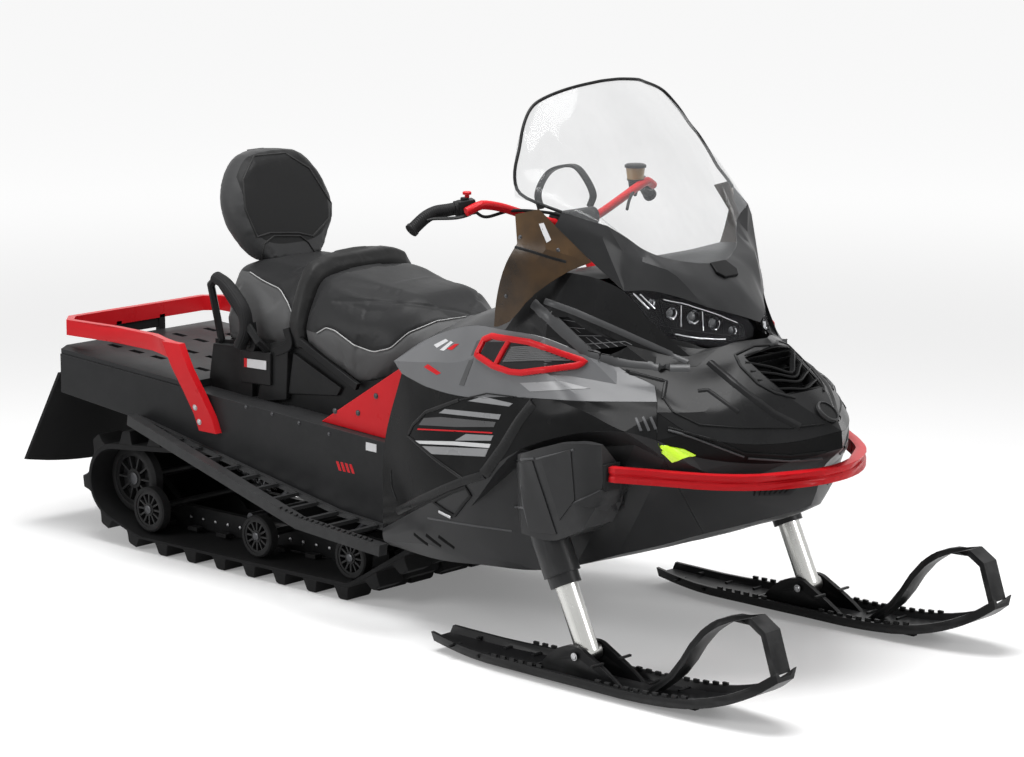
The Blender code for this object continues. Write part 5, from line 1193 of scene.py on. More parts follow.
class SLED_OT_lower_sides(bpy.types.Operator):
    """Slots filled with painted shade, triangular frame, wedge, corner plates, bumper blocks and lighter ridges
    of painted highlight along the edges of the lower sides
    """
    bl_idname = "sled.lower_sides"
    bl_label = "Lower side details"

    def execute(self, context):
        tree = surface_tree("lower_side_right_shell", "shroud_right_shell", "leg_sleeve_right_shell",
                            "belly_pan_shell")
        # The belly's slots are near-black bars: painted shade of their insides
        laid_bars("belly_slot_shade", tree, BELLY_SLOTS, "pit")
        laid_bars("lower_frames", tree, LOWER_FRAMES, "black", low=-0.002, bevel=0.0006)
        laid_bars("lower_frame_tips", tree, FRAME_TIPS, "zinc", slot="silver_metal")
        laid_plates("tower_plates", tree, TOWER_PLATES, "satin", 8, 8, angle=30.0, bevel=0.0012,
                    slot="dark_plastic")
        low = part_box("front_bumper")[0]
        ring = [(low.x + x, low.y + y, z) for x, y, z in BUMPER_BLOCK]
        new_piece("bumper_blocks", both_sides([slab(ring, ACROSS, BUMPER_BLOCK_WIDTH)]), "black", bevel=0.003)
        # Lighter grey ridges that paint highlights along the tower's and the wing's edges
        laid_bars("lower_painted_highlights", tree, EDGE_HIGHLIGHTS, "edge", soft=0.35, slot="dark_plastic")
        laid_plates("lower_pockets", tree, POCKETS, "mesh", 4, 4)
        return {"FINISHED"}


BUMPER_BLOCK_WIDTH = 0.055
BUMPER_BLOCK = ((-0.030, -0.018, 0.496), (-0.030, -0.018, 0.556), (0.012, -0.010, 0.562),
                (0.012, -0.010, 0.494))
# Near-black bars where the belly's slots are: painted shade of their dark insides
BELLY_SLOTS = alike(([(414, 534), (420, 539), (428, 545)], [(426, 535), (433, 540.5), (441, 546.5)],
                     [(438.5, 536.5), (446, 542), (454.5, 548.2)]), 0.014, 0.0012)
LOWER_FRAMES = (([(433, 501.5), (450, 493), (466, 487), (471, 495.5), (463, 505), (455, 515.5), (445, 510),
                  (433, 501.5)], 0.008, 0.005),)
FRAME_TIPS = (([(440, 511), (452, 517)], 0.008, 0.0065),)
# Lighter grey ridges along the tower's and the wing's edges: painted highlights where these edges catch the
# light
EDGE_HIGHLIGHTS = alike((
    [(514, 461), (524, 459), (534, 458.5)], [(519, 462), (521, 485), (524, 508), (530, 531)],
    [(515, 507), (528, 508)], [(536, 459), (556, 454), (574, 449.5)],
    [(574, 503), (600, 491), (620, 483), (638, 479)], [(428, 518), (470, 525), (512, 531)],
), 0.005, 0.0022)
TOWER_PLATES = (
    (((516, 463), (533, 460.5), (557, 534), (530, 532)), 0.004, 0.006),
    (((541, 459), (571, 449), (575, 500), (560, 520)), 0.003, 0.005),
    (((572, 504), (612, 485), (640, 480), (604, 509)), 0.007, 0.009),
)
POCKETS = ((((609, 499), (624, 497), (625, 508), (613, 511)), 0.0012, 0.002),)


class SLED_OT_nose(bpy.types.Operator):
    """Grille rim and slats, blank round badge, lip lines, lighter lines of painted highlight on the lip,
    reflectors, lower grille and cowl plate
    """
    bl_idname = "sled.nose"
    bl_label = "Nose details"

    def execute(self, context):
        tree = surface_tree("hood_shell", "front_lip_shell", "belly_pan_shell", "cowl_shell")
        laid_bars("grille_rims", tree, GRILLE_RIMS, "black", low=-0.002, step=3.0)
        slats = []
        for ends in GRILLE_SLATS:
            (a, b), normals = seen(tree, ends)
            middle = (a + b) / 2.0 * (1.0, 0.0, 1.0) + SLAT_BOW
            a = a - normals[0] * SLAT_SINK
            mirror = a * (1.0, -1.0, 1.0)
            path = smooth_path([a, a * 0.5 + middle * 0.5 + SLAT_BOW, middle,
                                mirror * 0.5 + middle * 0.5 + SLAT_BOW, mirror], 6)
            slats.append(swept(path, SLAT_PROFILE, up=(1.0, 0.0, 0.35)))
        new_piece("grille_slats", slats, "gloss")
        place, normal = front_point(BADGE_Z, "hood_shell", "front_lip_shell")
        badge = turned_between(place - normal * BADGE_SINK, place + normal * BADGE_RISE, BADGE_FACE, 40)
        new_piece("round_badge", [badge], "gloss")
        ring = turned_between(place, place + normal * BADGE_RING_RISE, BADGE_RING, 40)
        new_piece("badge_ring", [ring], "satin")
        laid_bars("nose_lines", tree, LIP_LINES, "gloss", low=-0.002)
        # Lighter lines along the lip: painted highlights
        laid_bars("nose_painted_highlights", tree, LIP_HIGHLIGHTS, "edge")
        laid_bars("hood_ribs", tree, HOOD_RIBS, "hood", low=-0.003, soft=0.42, bevel=0.0006)
        sides = surface_tree("hood_shell", "front_lip_shell", "shroud_right_shell", "lower_side_right_shell")
        laid_bars("nose_slots", sides, NOSE_SLOTS, "edge")
        laid_plates("side_reflectors", tree, REFLECTORS, "reflector", 6, 8, bevel=0.0008, slot="grey_plastic")
        laid_plates("lower_grille_backs", tree, LOWER_GRILLES, "mesh", 5, 12)
        low, high, low_step, high_step = (np.array(place) for place in LOWER_GRILLE_BARS)
        bars = [[low + low_step * k, high + high_step * k] for k in range(LOWER_GRILLE_COUNT)]
        laid_bars("lower_grille_bars", tree, alike(bars, 0.003, 0.0035), "gloss", low=0.0)
        spot, out = front_point(PLATE_Z, "cowl_shell")
        up = unit(np.array([-out[2], 0.0, out[0]]))
        ring = [spot - out * PLATE_SINK + np.array([0.0, y, 0.0]) + up * z for y, z in PLATE_OUTLINE]
        new_piece("cowl_plate", [slab(ring, out, PLATE_WALL)], "gloss", bevel=0.0022)
        return {"FINISHED"}


def front_point(height, *names):
    """Foremost point of some pieces in the middle plane at a height, and the direction that it faces."""
    place, normal, _, _ = surface_tree(*names).ray_cast(Vector((2.0, 0.0, height)), Vector((-1.0, 0.0, 0.0)))
    return np.array(place), np.array(normal)


BADGE_Z, BADGE_SINK, BADGE_RISE, BADGE_RING_RISE = 0.664, 0.004, 0.005, 0.008
PLATE_Z, PLATE_SINK, PLATE_WALL = 0.985, 0.002, 0.008
BADGE_FACE = ((0.0, 0.0), (0.0, 0.031), (0.8, 0.031), (1.0, 0.029), (1.0, 0.0))
BADGE_RING = ((0.0, 0.0275), (0.0, 0.0320), (0.8, 0.0320), (1.0, 0.0305), (1.0, 0.0275), (0.0, 0.0275))
PLATE_OUTLINE = ((-0.040, -0.010), (-0.026, -0.030), (0.026, -0.030), (0.040, -0.010), (0.030, 0.026),
                 (-0.030, 0.026))
GRILLE_RIMS = (([(777, 344.5), (754, 346), (735, 355), (741, 367), (758, 384), (775, 393), (795, 398)],
                0.006, 0.0035),)
SLAT_SINK, SLAT_BOW = 0.004, (0.004, 0.0, 0.002)
SLAT_PROFILE = ((-0.0028, -0.007), (0.0028, -0.007), (0.0028, 0.006), (0.0, 0.0075), (-0.0028, 0.006))
GRILLE_SLATS = (((744, 355), (790, 355)), ((745, 362), (795, 362)), ((750, 371), (800, 370)),
                ((757, 380), (806, 380)), ((768, 389), (812, 388)))
LIP_LINES = (
    ([(668, 428), (690, 434), (716, 441), (744, 453), (790, 456), (825, 452)], 0.006, 0.004),
    ([(664, 399), (673, 412), (700, 425), (740, 428), (790, 428), (826, 424)], 0.004, 0.0025),
)
# Lighter grey ridges along the lip's step and foot: painted highlights where the lip catches the light
LIP_HIGHLIGHTS = alike(([(668, 430.5), (692, 437), (744, 456.5)], [(748, 458), (790, 461), (822, 458)]),
                  0.0042, 0.0045)
HOOD_RIBS = (
    ([(626, 371), (645, 376), (666, 381.5), (663, 399)], 0.012, 0.003),
    ([(709, 362), (722, 373), (745, 392), (774, 414), (800, 427)], 0.026, 0.005),
    ([(698, 391), (708, 390), (722, 400), (738, 412)], 0.014, 0.003),
)
NOSE_SLOTS = alike(([(636, 418), (641, 431)], [(643, 417), (649, 431)], [(650.5, 417), (657, 432)]),
                   0.007, 0.0016)
REFLECTORS = ((((652.5, 443.5), (684, 449), (696, 455), (672, 462)), 0.0045, 0.006),)
LOWER_GRILLES = ((((753, 486), (800, 485), (790, 495), (757, 496)), 0.0015, 0.003),)
# first bar's two ends, and how far each moves from bar to bar
LOWER_GRILLE_BARS, LOWER_GRILLE_COUNT = ((754, 495.5), (756, 485.5), (5, -0.48), (6.5, -0.35)), 7


class SLED_OT_controls(bpy.types.Operator):
    """Grips with hooked ends, switch blocks, levers, fluid reservoir, cables and the centre strap"""
    bl_idname = "sled.controls"
    bl_label = "Handlebar controls"

    def execute(self, context):
        bar = "handlebar"
        path = smooth_path([at_width([place], y)[0] for place, y in GRIP_LINE], 8)
        near = [swept(path, round_profile(GRIP_RADIUS, 20)), swept(path[:5], round_profile(COLLAR_RADIUS, 20)),
                swept(path[-4:], round_profile(CAP_RADIUS, 20))]
        new_piece("grips", both_sides(near), "grip", bar)
        block_heart = at_width([BLOCK_PLACE], BLOCK_Y)[0]
        out, up = unit(path[0] - path[8]), np.array([0.0, 0.0, 1.0])
        case = swept([block_heart + out * BLOCK_ENDS[0], block_heart - out * BLOCK_ENDS[1]], BLOCK_PROFILE)
        stem = swept([block_heart + up * rise - out * STEM_INWARD for rise in STEM_HEIGHTS],
                     round_profile(STEM_RADIUS, 16))
        for side, parts in (("right", [case, stem]), ("left", [mirrored(case)])):
            piece = new_piece("switch_block_" + side, parts, "black", bar, bevel=0.0022)
            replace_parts(piece, "control_" + side)
        knob = turned_between(*[block_heart + up * rise for rise in KNOB_HEIGHTS], KNOB_PROFILE, 20)
        new_piece("stop_knob", [knob], "red", bar, slot="red_paint")
        ahead = np.array(LEVER_AHEAD)
        lever = smooth_path([block_heart + ahead * forth - out * along for forth, along in LEVER_LINE], 6)
        new_piece("levers", both_sides([swept(lever, round_profile(LEVER_RADIUS, 10, 0.6))]), "black", bar)
        tank = (block_heart + out * TANK_OUTWARD) * (1.0, -1.0, 1.0) + up * TANK_RISE
        body, lid, foot = (turned_between(tank + up * low, tank + up * high, profile, 28)
                           for low, high, profile in TANK_PARTS)
        new_piece("fluid_reservoir", [body], "brass", bar, slot="amber_screen")
        new_piece("reservoir_lid", [lid, foot], "black", bar)
        strap = swept(smooth_path(at_width(STRAP, STRAP_Y), 6), bar_profile(*STRAP_BAR), up=ACROSS)
        new_piece("centre_strap", [strap], "black", bar, bevel=0.0015)
        pad = swept(smooth_path([(PAD_X, y, PAD_Z) for y in PAD_WIDTHS], 4), round_profile(PAD_RADIUS, 20, 1.1))
        new_piece("bar_pad", [pad], "black", bar)
        hose = smooth_path([block_heart + out * along - up * down for along, down in HOSE_LINE], 8)
        hoses = both_sides([swept(hose, round_profile(HOSE_RADIUS, 10))])
        new_piece("control_hoses", hoses, "rubber", bar, slot="rubber")
        return {"FINISHED"}


# Lines of the grip, lever and hose run outwards from the switch block, whose places are taken from its heart
GRIP_LINE = (((462, 207.5), -0.345), ((448, 210), -0.375), ((436, 212), -0.402), ((426, 217), -0.428),
             ((417, 225), -0.452), ((411, 231), -0.470))
GRIP_RADIUS, COLLAR_RADIUS, CAP_RADIUS = 0.0165, 0.020, 0.0185
BLOCK_PLACE, BLOCK_Y, BLOCK_ENDS = (467, 207), -0.335, (0.020, 0.022)
BLOCK_PROFILE = ((-0.020, -0.019), (0.020, -0.019), (0.023, 0.0), (0.020, 0.019), (-0.020, 0.019),
                 (-0.023, 0.0))
STEM_INWARD, STEM_HEIGHTS, STEM_RADIUS, KNOB_HEIGHTS = 0.006, (0.016, 0.026), 0.011, (0.024, 0.040)
LEVER_AHEAD, LEVER_RADIUS = (0.86, 0.0, -0.30), 0.0062
LEVER_LINE = ((0.020, 0.0), (0.040, 0.020), (0.046, 0.060), (0.030, 0.105), (0.030, 0.125))
HOSE_LINE = ((0.018, 0.012), (0.050, 0.034), (0.120, 0.030), (0.215, 0.052), (0.265, 0.075))
HOSE_RADIUS = 0.0042
# Profiles of turned pieces are (share of the height, radius)
KNOB_PROFILE = ((0.0, 0.0), (0.0, 0.006), (0.45, 0.006), (0.5, 0.011), (0.85, 0.0115), (1.0, 0.009), (1.0, 0.0))
TANK_OUTWARD, TANK_RISE = 0.055, 0.030
TANK_PARTS = (
    # underside and top from the tank's heart, and the profile, of body, lid and foot
    (-0.022, 0.010, ((0.0, 0.0), (0.0, 0.022), (1.0, 0.026), (1.0, 0.0))),
    (0.0095, 0.019, ((0.0, 0.0), (0.0, 0.029), (0.7, 0.029), (1.0, 0.024), (1.0, 0.0))),
    (-0.034, -0.0215, ((0.0, 0.0), (0.0, 0.016), (1.0, 0.024), (1.0, 0.0))),
)
STRAP = ((541, 209), (538, 194), (545, 177), (556, 168), (574, 166), (585, 177), (593, 194), (590, 206))
STRAP_Y, STRAP_BAR = 0.03, (0.004, 0.011)
PAD_X, PAD_Z, PAD_RADIUS, PAD_WIDTHS = 0.416, 1.065, 0.024, (-0.075, -0.03, 0.03, 0.075)


def dent(mesh, line, depth, width):
    """Presses a line into a surface: each point moves inwards by depth * exp(-(distance / width)^2)."""
    points, normals = places_of(mesh), np.empty(len(mesh.vertices) * 3)
    mesh.vertices.foreach_get("normal", normals)
    normals = normals.reshape(-1, 3)
    far = np.full(len(points), 1e9)
    for start in range(0, len(line), 40):
        gap = np.linalg.norm(points[:, None] - line[None, start:start + 40], axis=2).min(1)
        far = np.minimum(far, gap)
    points = points - normals * (depth * np.exp(-(far / width) ** 2))[:, None]
    mesh.vertices.foreach_set("co", points.ravel())
    mesh.update()


def evaluated_copy(item):
    """The mesh of an object with its modifiers worked in."""
    bpy.context.view_layer.update()
    graph = bpy.context.evaluated_depsgraph_get()
    return bpy.data.meshes.new_from_object(item.evaluated_get(graph), depsgraph=graph)


def places_of(mesh):
    """The points of a mesh as rows."""
    flat = np.empty(len(mesh.vertices) * 3)
    mesh.vertices.foreach_get("co", flat)
    return flat.reshape(-1, 3)


def swollen(name, mesh, cap):
    """A stuffed form: remeshed, blown up as cloth from inside while its foot is held, and capped."""
    item = bpy.data.objects.new(name + "_draft", mesh)
    bpy.context.scene.collection.objects.link(item)
    even = item.modifiers.new("even", "REMESH")
    even.mode, even.voxel_size = "VOXEL", SEAT_VOXEL
    item.data = evaluated_copy(item)
    item.modifiers.clear()
    before = places_of(item.data)
    foot = np.flatnonzero(before[:, 2] < before[:, 2].min() + SEAT_HELD)
    item.vertex_groups.new(name="held").add([int(i) for i in foot], 1.0, "REPLACE")
    cloth = item.modifiers.new("cloth", "CLOTH")
    cloth.settings.use_pressure = True
    cloth.settings.uniform_pressure_force = SEAT_PRESSURE
    cloth.settings.effector_weights.gravity = 0.0
    cloth.settings.quality = 5
    cloth.settings.vertex_group_mass = "held"
    cloth.point_cache.frame_start, cloth.point_cache.frame_end = 1, CLOTH_FRAMES
    for number in range(1, CLOTH_FRAMES + 1):
        bpy.context.scene.frame_set(number)
    after = places_of(evaluated_copy(item))
    item.modifiers.clear()
    bpy.context.scene.frame_set(1)
    far = np.linalg.norm(after - before, axis=1, keepdims=True)
    before = before + (after - before) * np.minimum(1.0, cap / np.maximum(far, 1e-9))
    item.data.vertices.foreach_set("co", before.ravel())
    done = item.data
    done.update()
    bpy.data.objects.remove(item)
    return done


SEAT_VOXEL, SEAT_HELD = 0.006, 0.010
SEAT_PRESSURE, CLOTH_FRAMES = 4.0, 18


class SLED_OT_seats(bpy.types.Operator):
    """Padded driver and passenger seats with seams and piping, the dividing arch and the backrest"""
    bl_idname = "sled.seats"
    bl_label = "Seats"

    def execute(self, context):
        piping = []
        for node, cap, seams in SEATS:
            mesh = swollen(node, curved_mesh(node + "_soft", node, 62.0, 4, 60.0), cap)
            tree = BVHTree.FromPolygons([v.co.copy() for v in mesh.vertices],
                                        [tuple(face.vertices) for face in mesh.polygons])
            lines = []
            for places, piped in seams:
                near = seen(tree, dense(places, 2.0))[0]
                near = smooth_path(near[::3], 3) if len(near) > 9 else near
                lines += [near, near * (1.0, -1.0, 1.0)]
                if piped:
                    outward = [tree.find_nearest(Vector(p)) for p in near]
                    tube = np.array([hit[0] + hit[1] * PIPING_LIFT for hit in outward])
                    piping += both_sides([swept(tube, round_profile(sizes().piping, 8))])
            for line in lines:
                dent(mesh, line, SEAM_DEPTH, SEAM_WIDTH)
            if node == "backrest":
                finish = backrest_vinyl()
            else:
                finish = two_tone_vinyl(node.split("_")[0] + "_vinyl", lines[0]) if lines else FINISHES["arch"]
            piece = placed(node + "_pad", mesh, finish, "chassis", 60.0, 0.0, 1)
            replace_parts(piece, node)
        new_piece("seat_piping", piping, "piping", slot="seat_vinyl")
        tree = surface_tree("backrest_pad")
        seams = [laid_line(tree, places, round_profile(0.0030, 8), closed) for places, closed in BACK_SEAMS]
        new_piece("backrest_seams", seams, "arch", slot="seat_vinyl")
        return {"FINISHED"}


SEAM_DEPTH, SEAM_WIDTH, PIPING_LIFT = 0.0032, 0.0055, 0.0002
SEATS = (
    # node, most that the cloth may move, and its seams with whether piping lies in them
    ("driver_seat", 0.006, (
        (((317, 333), (326, 328), (334, 330), (354, 345), (373, 352), (390, 348.5), (408, 333), (437, 321),
          (470, 316)), True),
        (((334, 301), (352, 300.5), (375, 301), (416, 304.5), (455, 310), (472, 314)), False))),
    ("passenger_seat", 0.006, ((((250, 272), (262, 280), (280, 289), (288, 303), (297, 326)), True),)),
    ("seat_arch", 0.003, ()),
    ("backrest", 0.0028, ()),
)


def two_tone_vinyl(name, line):
    """Vinyl that is lighter below a seam; the seam's height along x is a curve from its own points."""
    c = colours().vinyl
    f, patches = vinyl_shader(name, 620.0, (0.40, 0.54))
    top = f.mixed(patches, darker(c, 0.48), darker(c, 0.26))
    side = f.mixed(patches, lighter(c, 0.034), lighter(c, 0.060))
    order = np.argsort(line[:, 0])
    x, z = line[order, 0], line[order, 2]
    low, high = float(z.min()) - 0.02, float(z.max()) + 0.02
    axes = f.axes()
    along = f.ranged(axes[0], 0.0, 1.0, float(x.min()), float(x.max()))
    curve = f.tree.nodes.new("ShaderNodeFloatCurve")
    f.tree.links.new(along, curve.inputs["Value"])
    steps = np.linspace(0, len(x) - 1, 14).round().astype(int)
    rows = [(float((x[k] - x.min()) / (x.max() - x.min())), float((z[k] - low) / (high - low))) for k in steps]
    places = curve.mapping.curves[0].points
    places[0].location, places[1].location = rows[0], rows[-1]
    for place in rows[1:-1]:
        places.new(*place)
    curve.mapping.update()
    below = f.math("LESS_THAN", axes[2], f.ranged(curve.outputs[0], low, high))
    worn = f.use("Edge_wear", Amount=0.2)
    f.colour(f.mixed(worn.outputs["Mask"], f.mixed(below, top, side), lighter(c, 0.10)))
    return f.material


def backrest_vinyl():
    """Backrest: a darker rounded field inside a lighter border; the field is a super-ellipse in y and z."""
    c = colours().vinyl
    f, patches = vinyl_shader("backrest_vinyl", 620.0, (0.42, 0.56), folds=False)
    field = f.mixed(patches, darker(c, 0.75), darker(c, 0.62))
    border = f.mixed(patches, darker(c, 0.05), lighter(c, 0.03))
    x, y, z = f.axes()
    half_width, half_height, middle = BACK_FIELD
    across = f.math("POWER", f.math("ABSOLUTE", f.math("DIVIDE", y, half_width)), 3.0)
    upward = f.math("DIVIDE", f.math("SUBTRACT", z, middle), half_height)
    upward = f.math("POWER", f.math("ABSOLUTE", upward), 3.0)
    inside = f.math("LESS_THAN", f.math("ADD", across, upward), 1.0)
    facing = f.math("GREATER_THAN", f.math("ADD", x, f.math("MULTIPLY", z, BACK_LEAN)), BACK_FRONT)
    f.colour(f.mixed(f.math("MULTIPLY", inside, facing), border, field))
    return f.material


BACK_SEAMS = (
    ([(243, 180), (254, 156), (285, 153), (309, 168), (331, 203), (331, 216), (313, 236), (298, 233), (270, 233),
      (257, 237), (245, 209)], True),
    ([(262, 258), (264, 244), (274, 236), (300, 236), (308, 242), (316, 254)], False),
)
BACK_FIELD = (0.158, 0.132, 1.034)
BACK_FRONT, BACK_LEAN = -0.397, 0.28


class SLED_OT_seat_base(bpy.types.Operator):
    """Side box, latch plate, ribs and padded grab handles below the passenger seat"""
    bl_idname = "sled.seat_base"
    bl_label = "Seat base details"

    def execute(self, context):
        plates = [slab(at_width(corners, -BASE_HALF - out), ACROSS, wall) for corners, out, wall in BASE_PLATES]
        new_piece("base_side_boxes", both_sides(plates), "black", bevel=0.003)
        ribs = [swept(smooth_path(at_width(line, -BASE_HALF - out), 5), bar_profile(width, BASE_BAR_HALF),
                      up=ACROSS) for line, out, width in BASE_BARS]
        new_piece("base_bars", both_sides(ribs), "black", bevel=0.002)
        for name, corners, out, finish, slot in BASE_LABELS:
            label = slab(at_width(corners, -BASE_HALF - out), ACROSS, LABEL_WALL)
            new_piece(name, both_sides([label]), finish, slot=slot)
        handle = swept(smooth_path(at_width(HANDLE_LINE, -HANDLE_Y), 6), round_profile(HANDLE_RADIUS, 20, 0.8))
        new_piece("grab_handles", both_sides([handle]), "grip")
        return {"FINISHED"}


BASE_HALF, BASE_BAR_HALF, LABEL_WALL = 0.225, 0.007, 0.0015
HANDLE_Y, HANDLE_RADIUS = 0.268, 0.021
# corners, how far outside the base, wall; and the same for the bars, with their half width last
BASE_PLATES = (
    (((213, 343), (252, 347), (252, 398), (208, 388)), 0.020, 0.024),
    (((240, 350), (270, 353), (270, 386), (240, 382)), 0.028, 0.010),
    (((293, 353), (341, 388), (337, 396), (288, 394)), 0.010, 0.016),
    (((270, 343), (288, 340), (286, 400), (256, 402)), 0.018, 0.022),
)
BASE_BARS = (
    ([(300, 341), (330, 365), (358, 387)], 0.016, 0.010), ([(252, 322), (254, 345), (250, 352)], 0.020, 0.010),
    ([(287, 328), (290, 345), (276, 352)], 0.014, 0.012),
)
BASE_LABELS = (
    ("blank_plates", ((246, 358.5), (266, 361), (266, 370), (246, 367)), 0.0305, "pale", "grey_plastic"),
    ("plate_tabs", ((244, 358), (247, 358.5), (247, 367.2), (244, 366.8)), 0.0308, "red", "red_paint"),
)
HANDLE_LINE = ((216, 277), (226, 284), (236, 297), (244, 312), (246, 330), (240, 346))


def band_path(circles, gap, step):
    """The line of a belt at a gap around circles: arcs joined by the straight runs of their tangents."""
    points = []
    count = len(circles)
    turns = []
    for k in range(count):
        (x0, z0, r0), (x1, z1, r1) = circles[k], circles[(k + 1) % count]
        dx, dz = x1 - x0, z1 - z0
        far = math.hypot(dx, dz)
        lean = math.asin((r0 - r1) / far)
        turns.append(math.atan2(dz, dx) - math.pi / 2.0 + lean)
    for k in range(count):
        x, z, r = circles[k]
        start, end = turns[k - 1], turns[k]
        while end < start:
            end += 2.0 * math.pi
        arc = np.linspace(start, end, max(2, int(math.ceil((end - start) / step))))
        reach = r + gap
        points.append(np.stack([x + reach * np.cos(arc), np.zeros_like(arc), z + reach * np.sin(arc)], 1))
    path = np.vstack(points)
    closed = np.vstack([path, path[:1]])
    length = np.concatenate([[0.0], np.cumsum(np.linalg.norm(np.diff(closed, axis=0), axis=1))])
    return closed, length


WHEELS = (
    # node, x, z, radius, distance of each wheel from the middle, spokes
    ("rear_axle", -1.084, 0.188, 0.098, 0.210, 10), ("tail_wheels", -0.972, 0.120, 0.066, 0.254, 12),
    ("middle_wheels", -0.520, 0.114, 0.060, 0.254, 12), ("front_wheels", -0.150, 0.114, 0.060, 0.254, 12),
)
BELT_CIRCLES = ((-1.084, 0.188, 0.098), (-0.972, 0.120, 0.066), (-0.150, 0.114, 0.060), (0.130, 0.310, 0.088))
BELT_WALL, BELT_HALF, LUG_PITCH = 0.016, 0.300, 0.122
LUG_SPANS = ((-0.298, -0.196), (-0.184, -0.062), (-0.050, 0.050), (0.062, 0.184), (0.196, 0.298))


class SLED_OT_track(bpy.types.Operator):
    """Rubber belt, its lugs in five blocks across, inner drive teeth and the steel clips between"""
    bl_idname = "sled.track"
    bl_label = "Track"

    def execute(self, context):
        outer, outer_run = band_path(BELT_CIRCLES, BELT_WALL, BELT_STEP)
        inner, inner_run = band_path(BELT_CIRCLES, 0.0, BELT_STEP)
        total = outer_run[-1]
        count = int(round(total / LUG_PITCH))
        marks = (np.arange(count * 12) + 0.5) / (count * 12)
        rows_out, rows_in = along_band(marks, outer, outer_run), along_band(marks, inner, inner_run)
        rows_in = rows_out + unit(rows_in - rows_out) * BELT_WALL
        grid = np.stack([rows + (0.0, y, 0.0) for rows, y in (
            (rows_out, -BELT_HALF), (rows_out, BELT_HALF), (rows_in, BELT_HALF), (rows_in, -BELT_HALF))], 1)
        band = (grid.reshape(-1, 3), grid_faces(len(rows_out), 4, True, True))
        belt = new_piece("track_belt", [band], "rubber", bevel=0.002, slot="rubber")
        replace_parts(belt, "track")
        lugs, teeth, clips = [], [], []
        across = np.array(ACROSS)
        for k in range(count):
            middle = (k + 0.5) / count
            at = along_band((middle + np.array([-0.5, 0.0, 0.5]) * LUG_CHORD / total) % 1.0, outer, outer_run)
            ahead = unit(at[2] - at[0])
            out = np.array([-ahead[2], 0.0, ahead[0]])
            if out.dot(at[1] - np.array(BELT_HEART)) < 0.0:
                out = -out
            for number, (a, b) in enumerate(LUG_SPANS):
                high = sizes().lug_height * (0.86 if number % 2 else 1.0)
                shift = ahead * (LUG_STAGGER if number % 2 else 0.0)
                lugs.append(lug(at[1] + shift, ahead, out, across, a, b, high))
            low = at[1] - out * BELT_WALL
            for y in TOOTH_PLACES:
                foot = [low + across * (y + s) + ahead * t for s, t in bar_profile(*TOOTH_HALVES)]
                teeth.append(slab(foot, -out, TOOTH_HEIGHT))
            (spot,) = along_band(np.array([(middle + 0.5 / count) % 1.0]), outer, outer_run)
            for y in CLIP_PLACES:
                foot = [spot + across * (y + s) + ahead * t + out * CLIP_LIFT
                        for s, t in bar_profile(*CLIP_HALVES)]
                clips.append(slab(foot, out, CLIP_WALL))
        new_piece("track_lugs", lugs, "rubber", bevel=0.0016, slot="rubber")
        new_piece("track_teeth", teeth, "rubber", bevel=0.0012, slot="rubber")
        new_piece("track_clips", clips, "steel", slot="dark_metal")
        return {"FINISHED"}


def along_band(shares, line, run):
    """Points of a band at shares of its whole run."""
    return np.stack([np.interp(shares * run[-1], run, line[:, k]) for k in range(3)], 1)


BELT_STEP, BELT_HEART = math.radians(6.0), (-0.45, 0.0, 0.2)
LUG_CHORD, LUG_STAGGER, TOOTH_HEIGHT, CLIP_LIFT, CLIP_WALL = 0.05, 0.010, 0.012, 0.0005, 0.0022
TOOTH_PLACES, CLIP_PLACES = (-0.165, 0.165), (-0.190, -0.056, 0.056, 0.190)
TOOTH_HALVES, CLIP_HALVES = (0.012, 0.020), (0.014, 0.016)
# share of the lug's height, half its length, and how far it is trimmed at each end, from foot to crown
LUG_FOOT, LUG_ROWS = -0.004, ((0.25, 0.024, 0.002), (0.85, 0.0175, 0.006), (1.0, 0.013, 0.010))


def lug(place, ahead, out, across, a, b, high):
    """A tapered block: a foot, a waist and a chamfered crown, each a rectangle across the belt."""
    rows = []
    for lift, half, trim in [(LUG_FOOT, 0.031, 0.0)] + [(high * share, *more) for share, *more in LUG_ROWS]:
        for s, t in ((a + trim, -half), (b - trim, -half), (b - trim, half), (a + trim, half)):
            rows.append(place + across * s + ahead * t + out * lift)
    return np.array(rows), grid_faces(4, 4, False, True) + [[3, 2, 1, 0], [12, 13, 14, 15]]


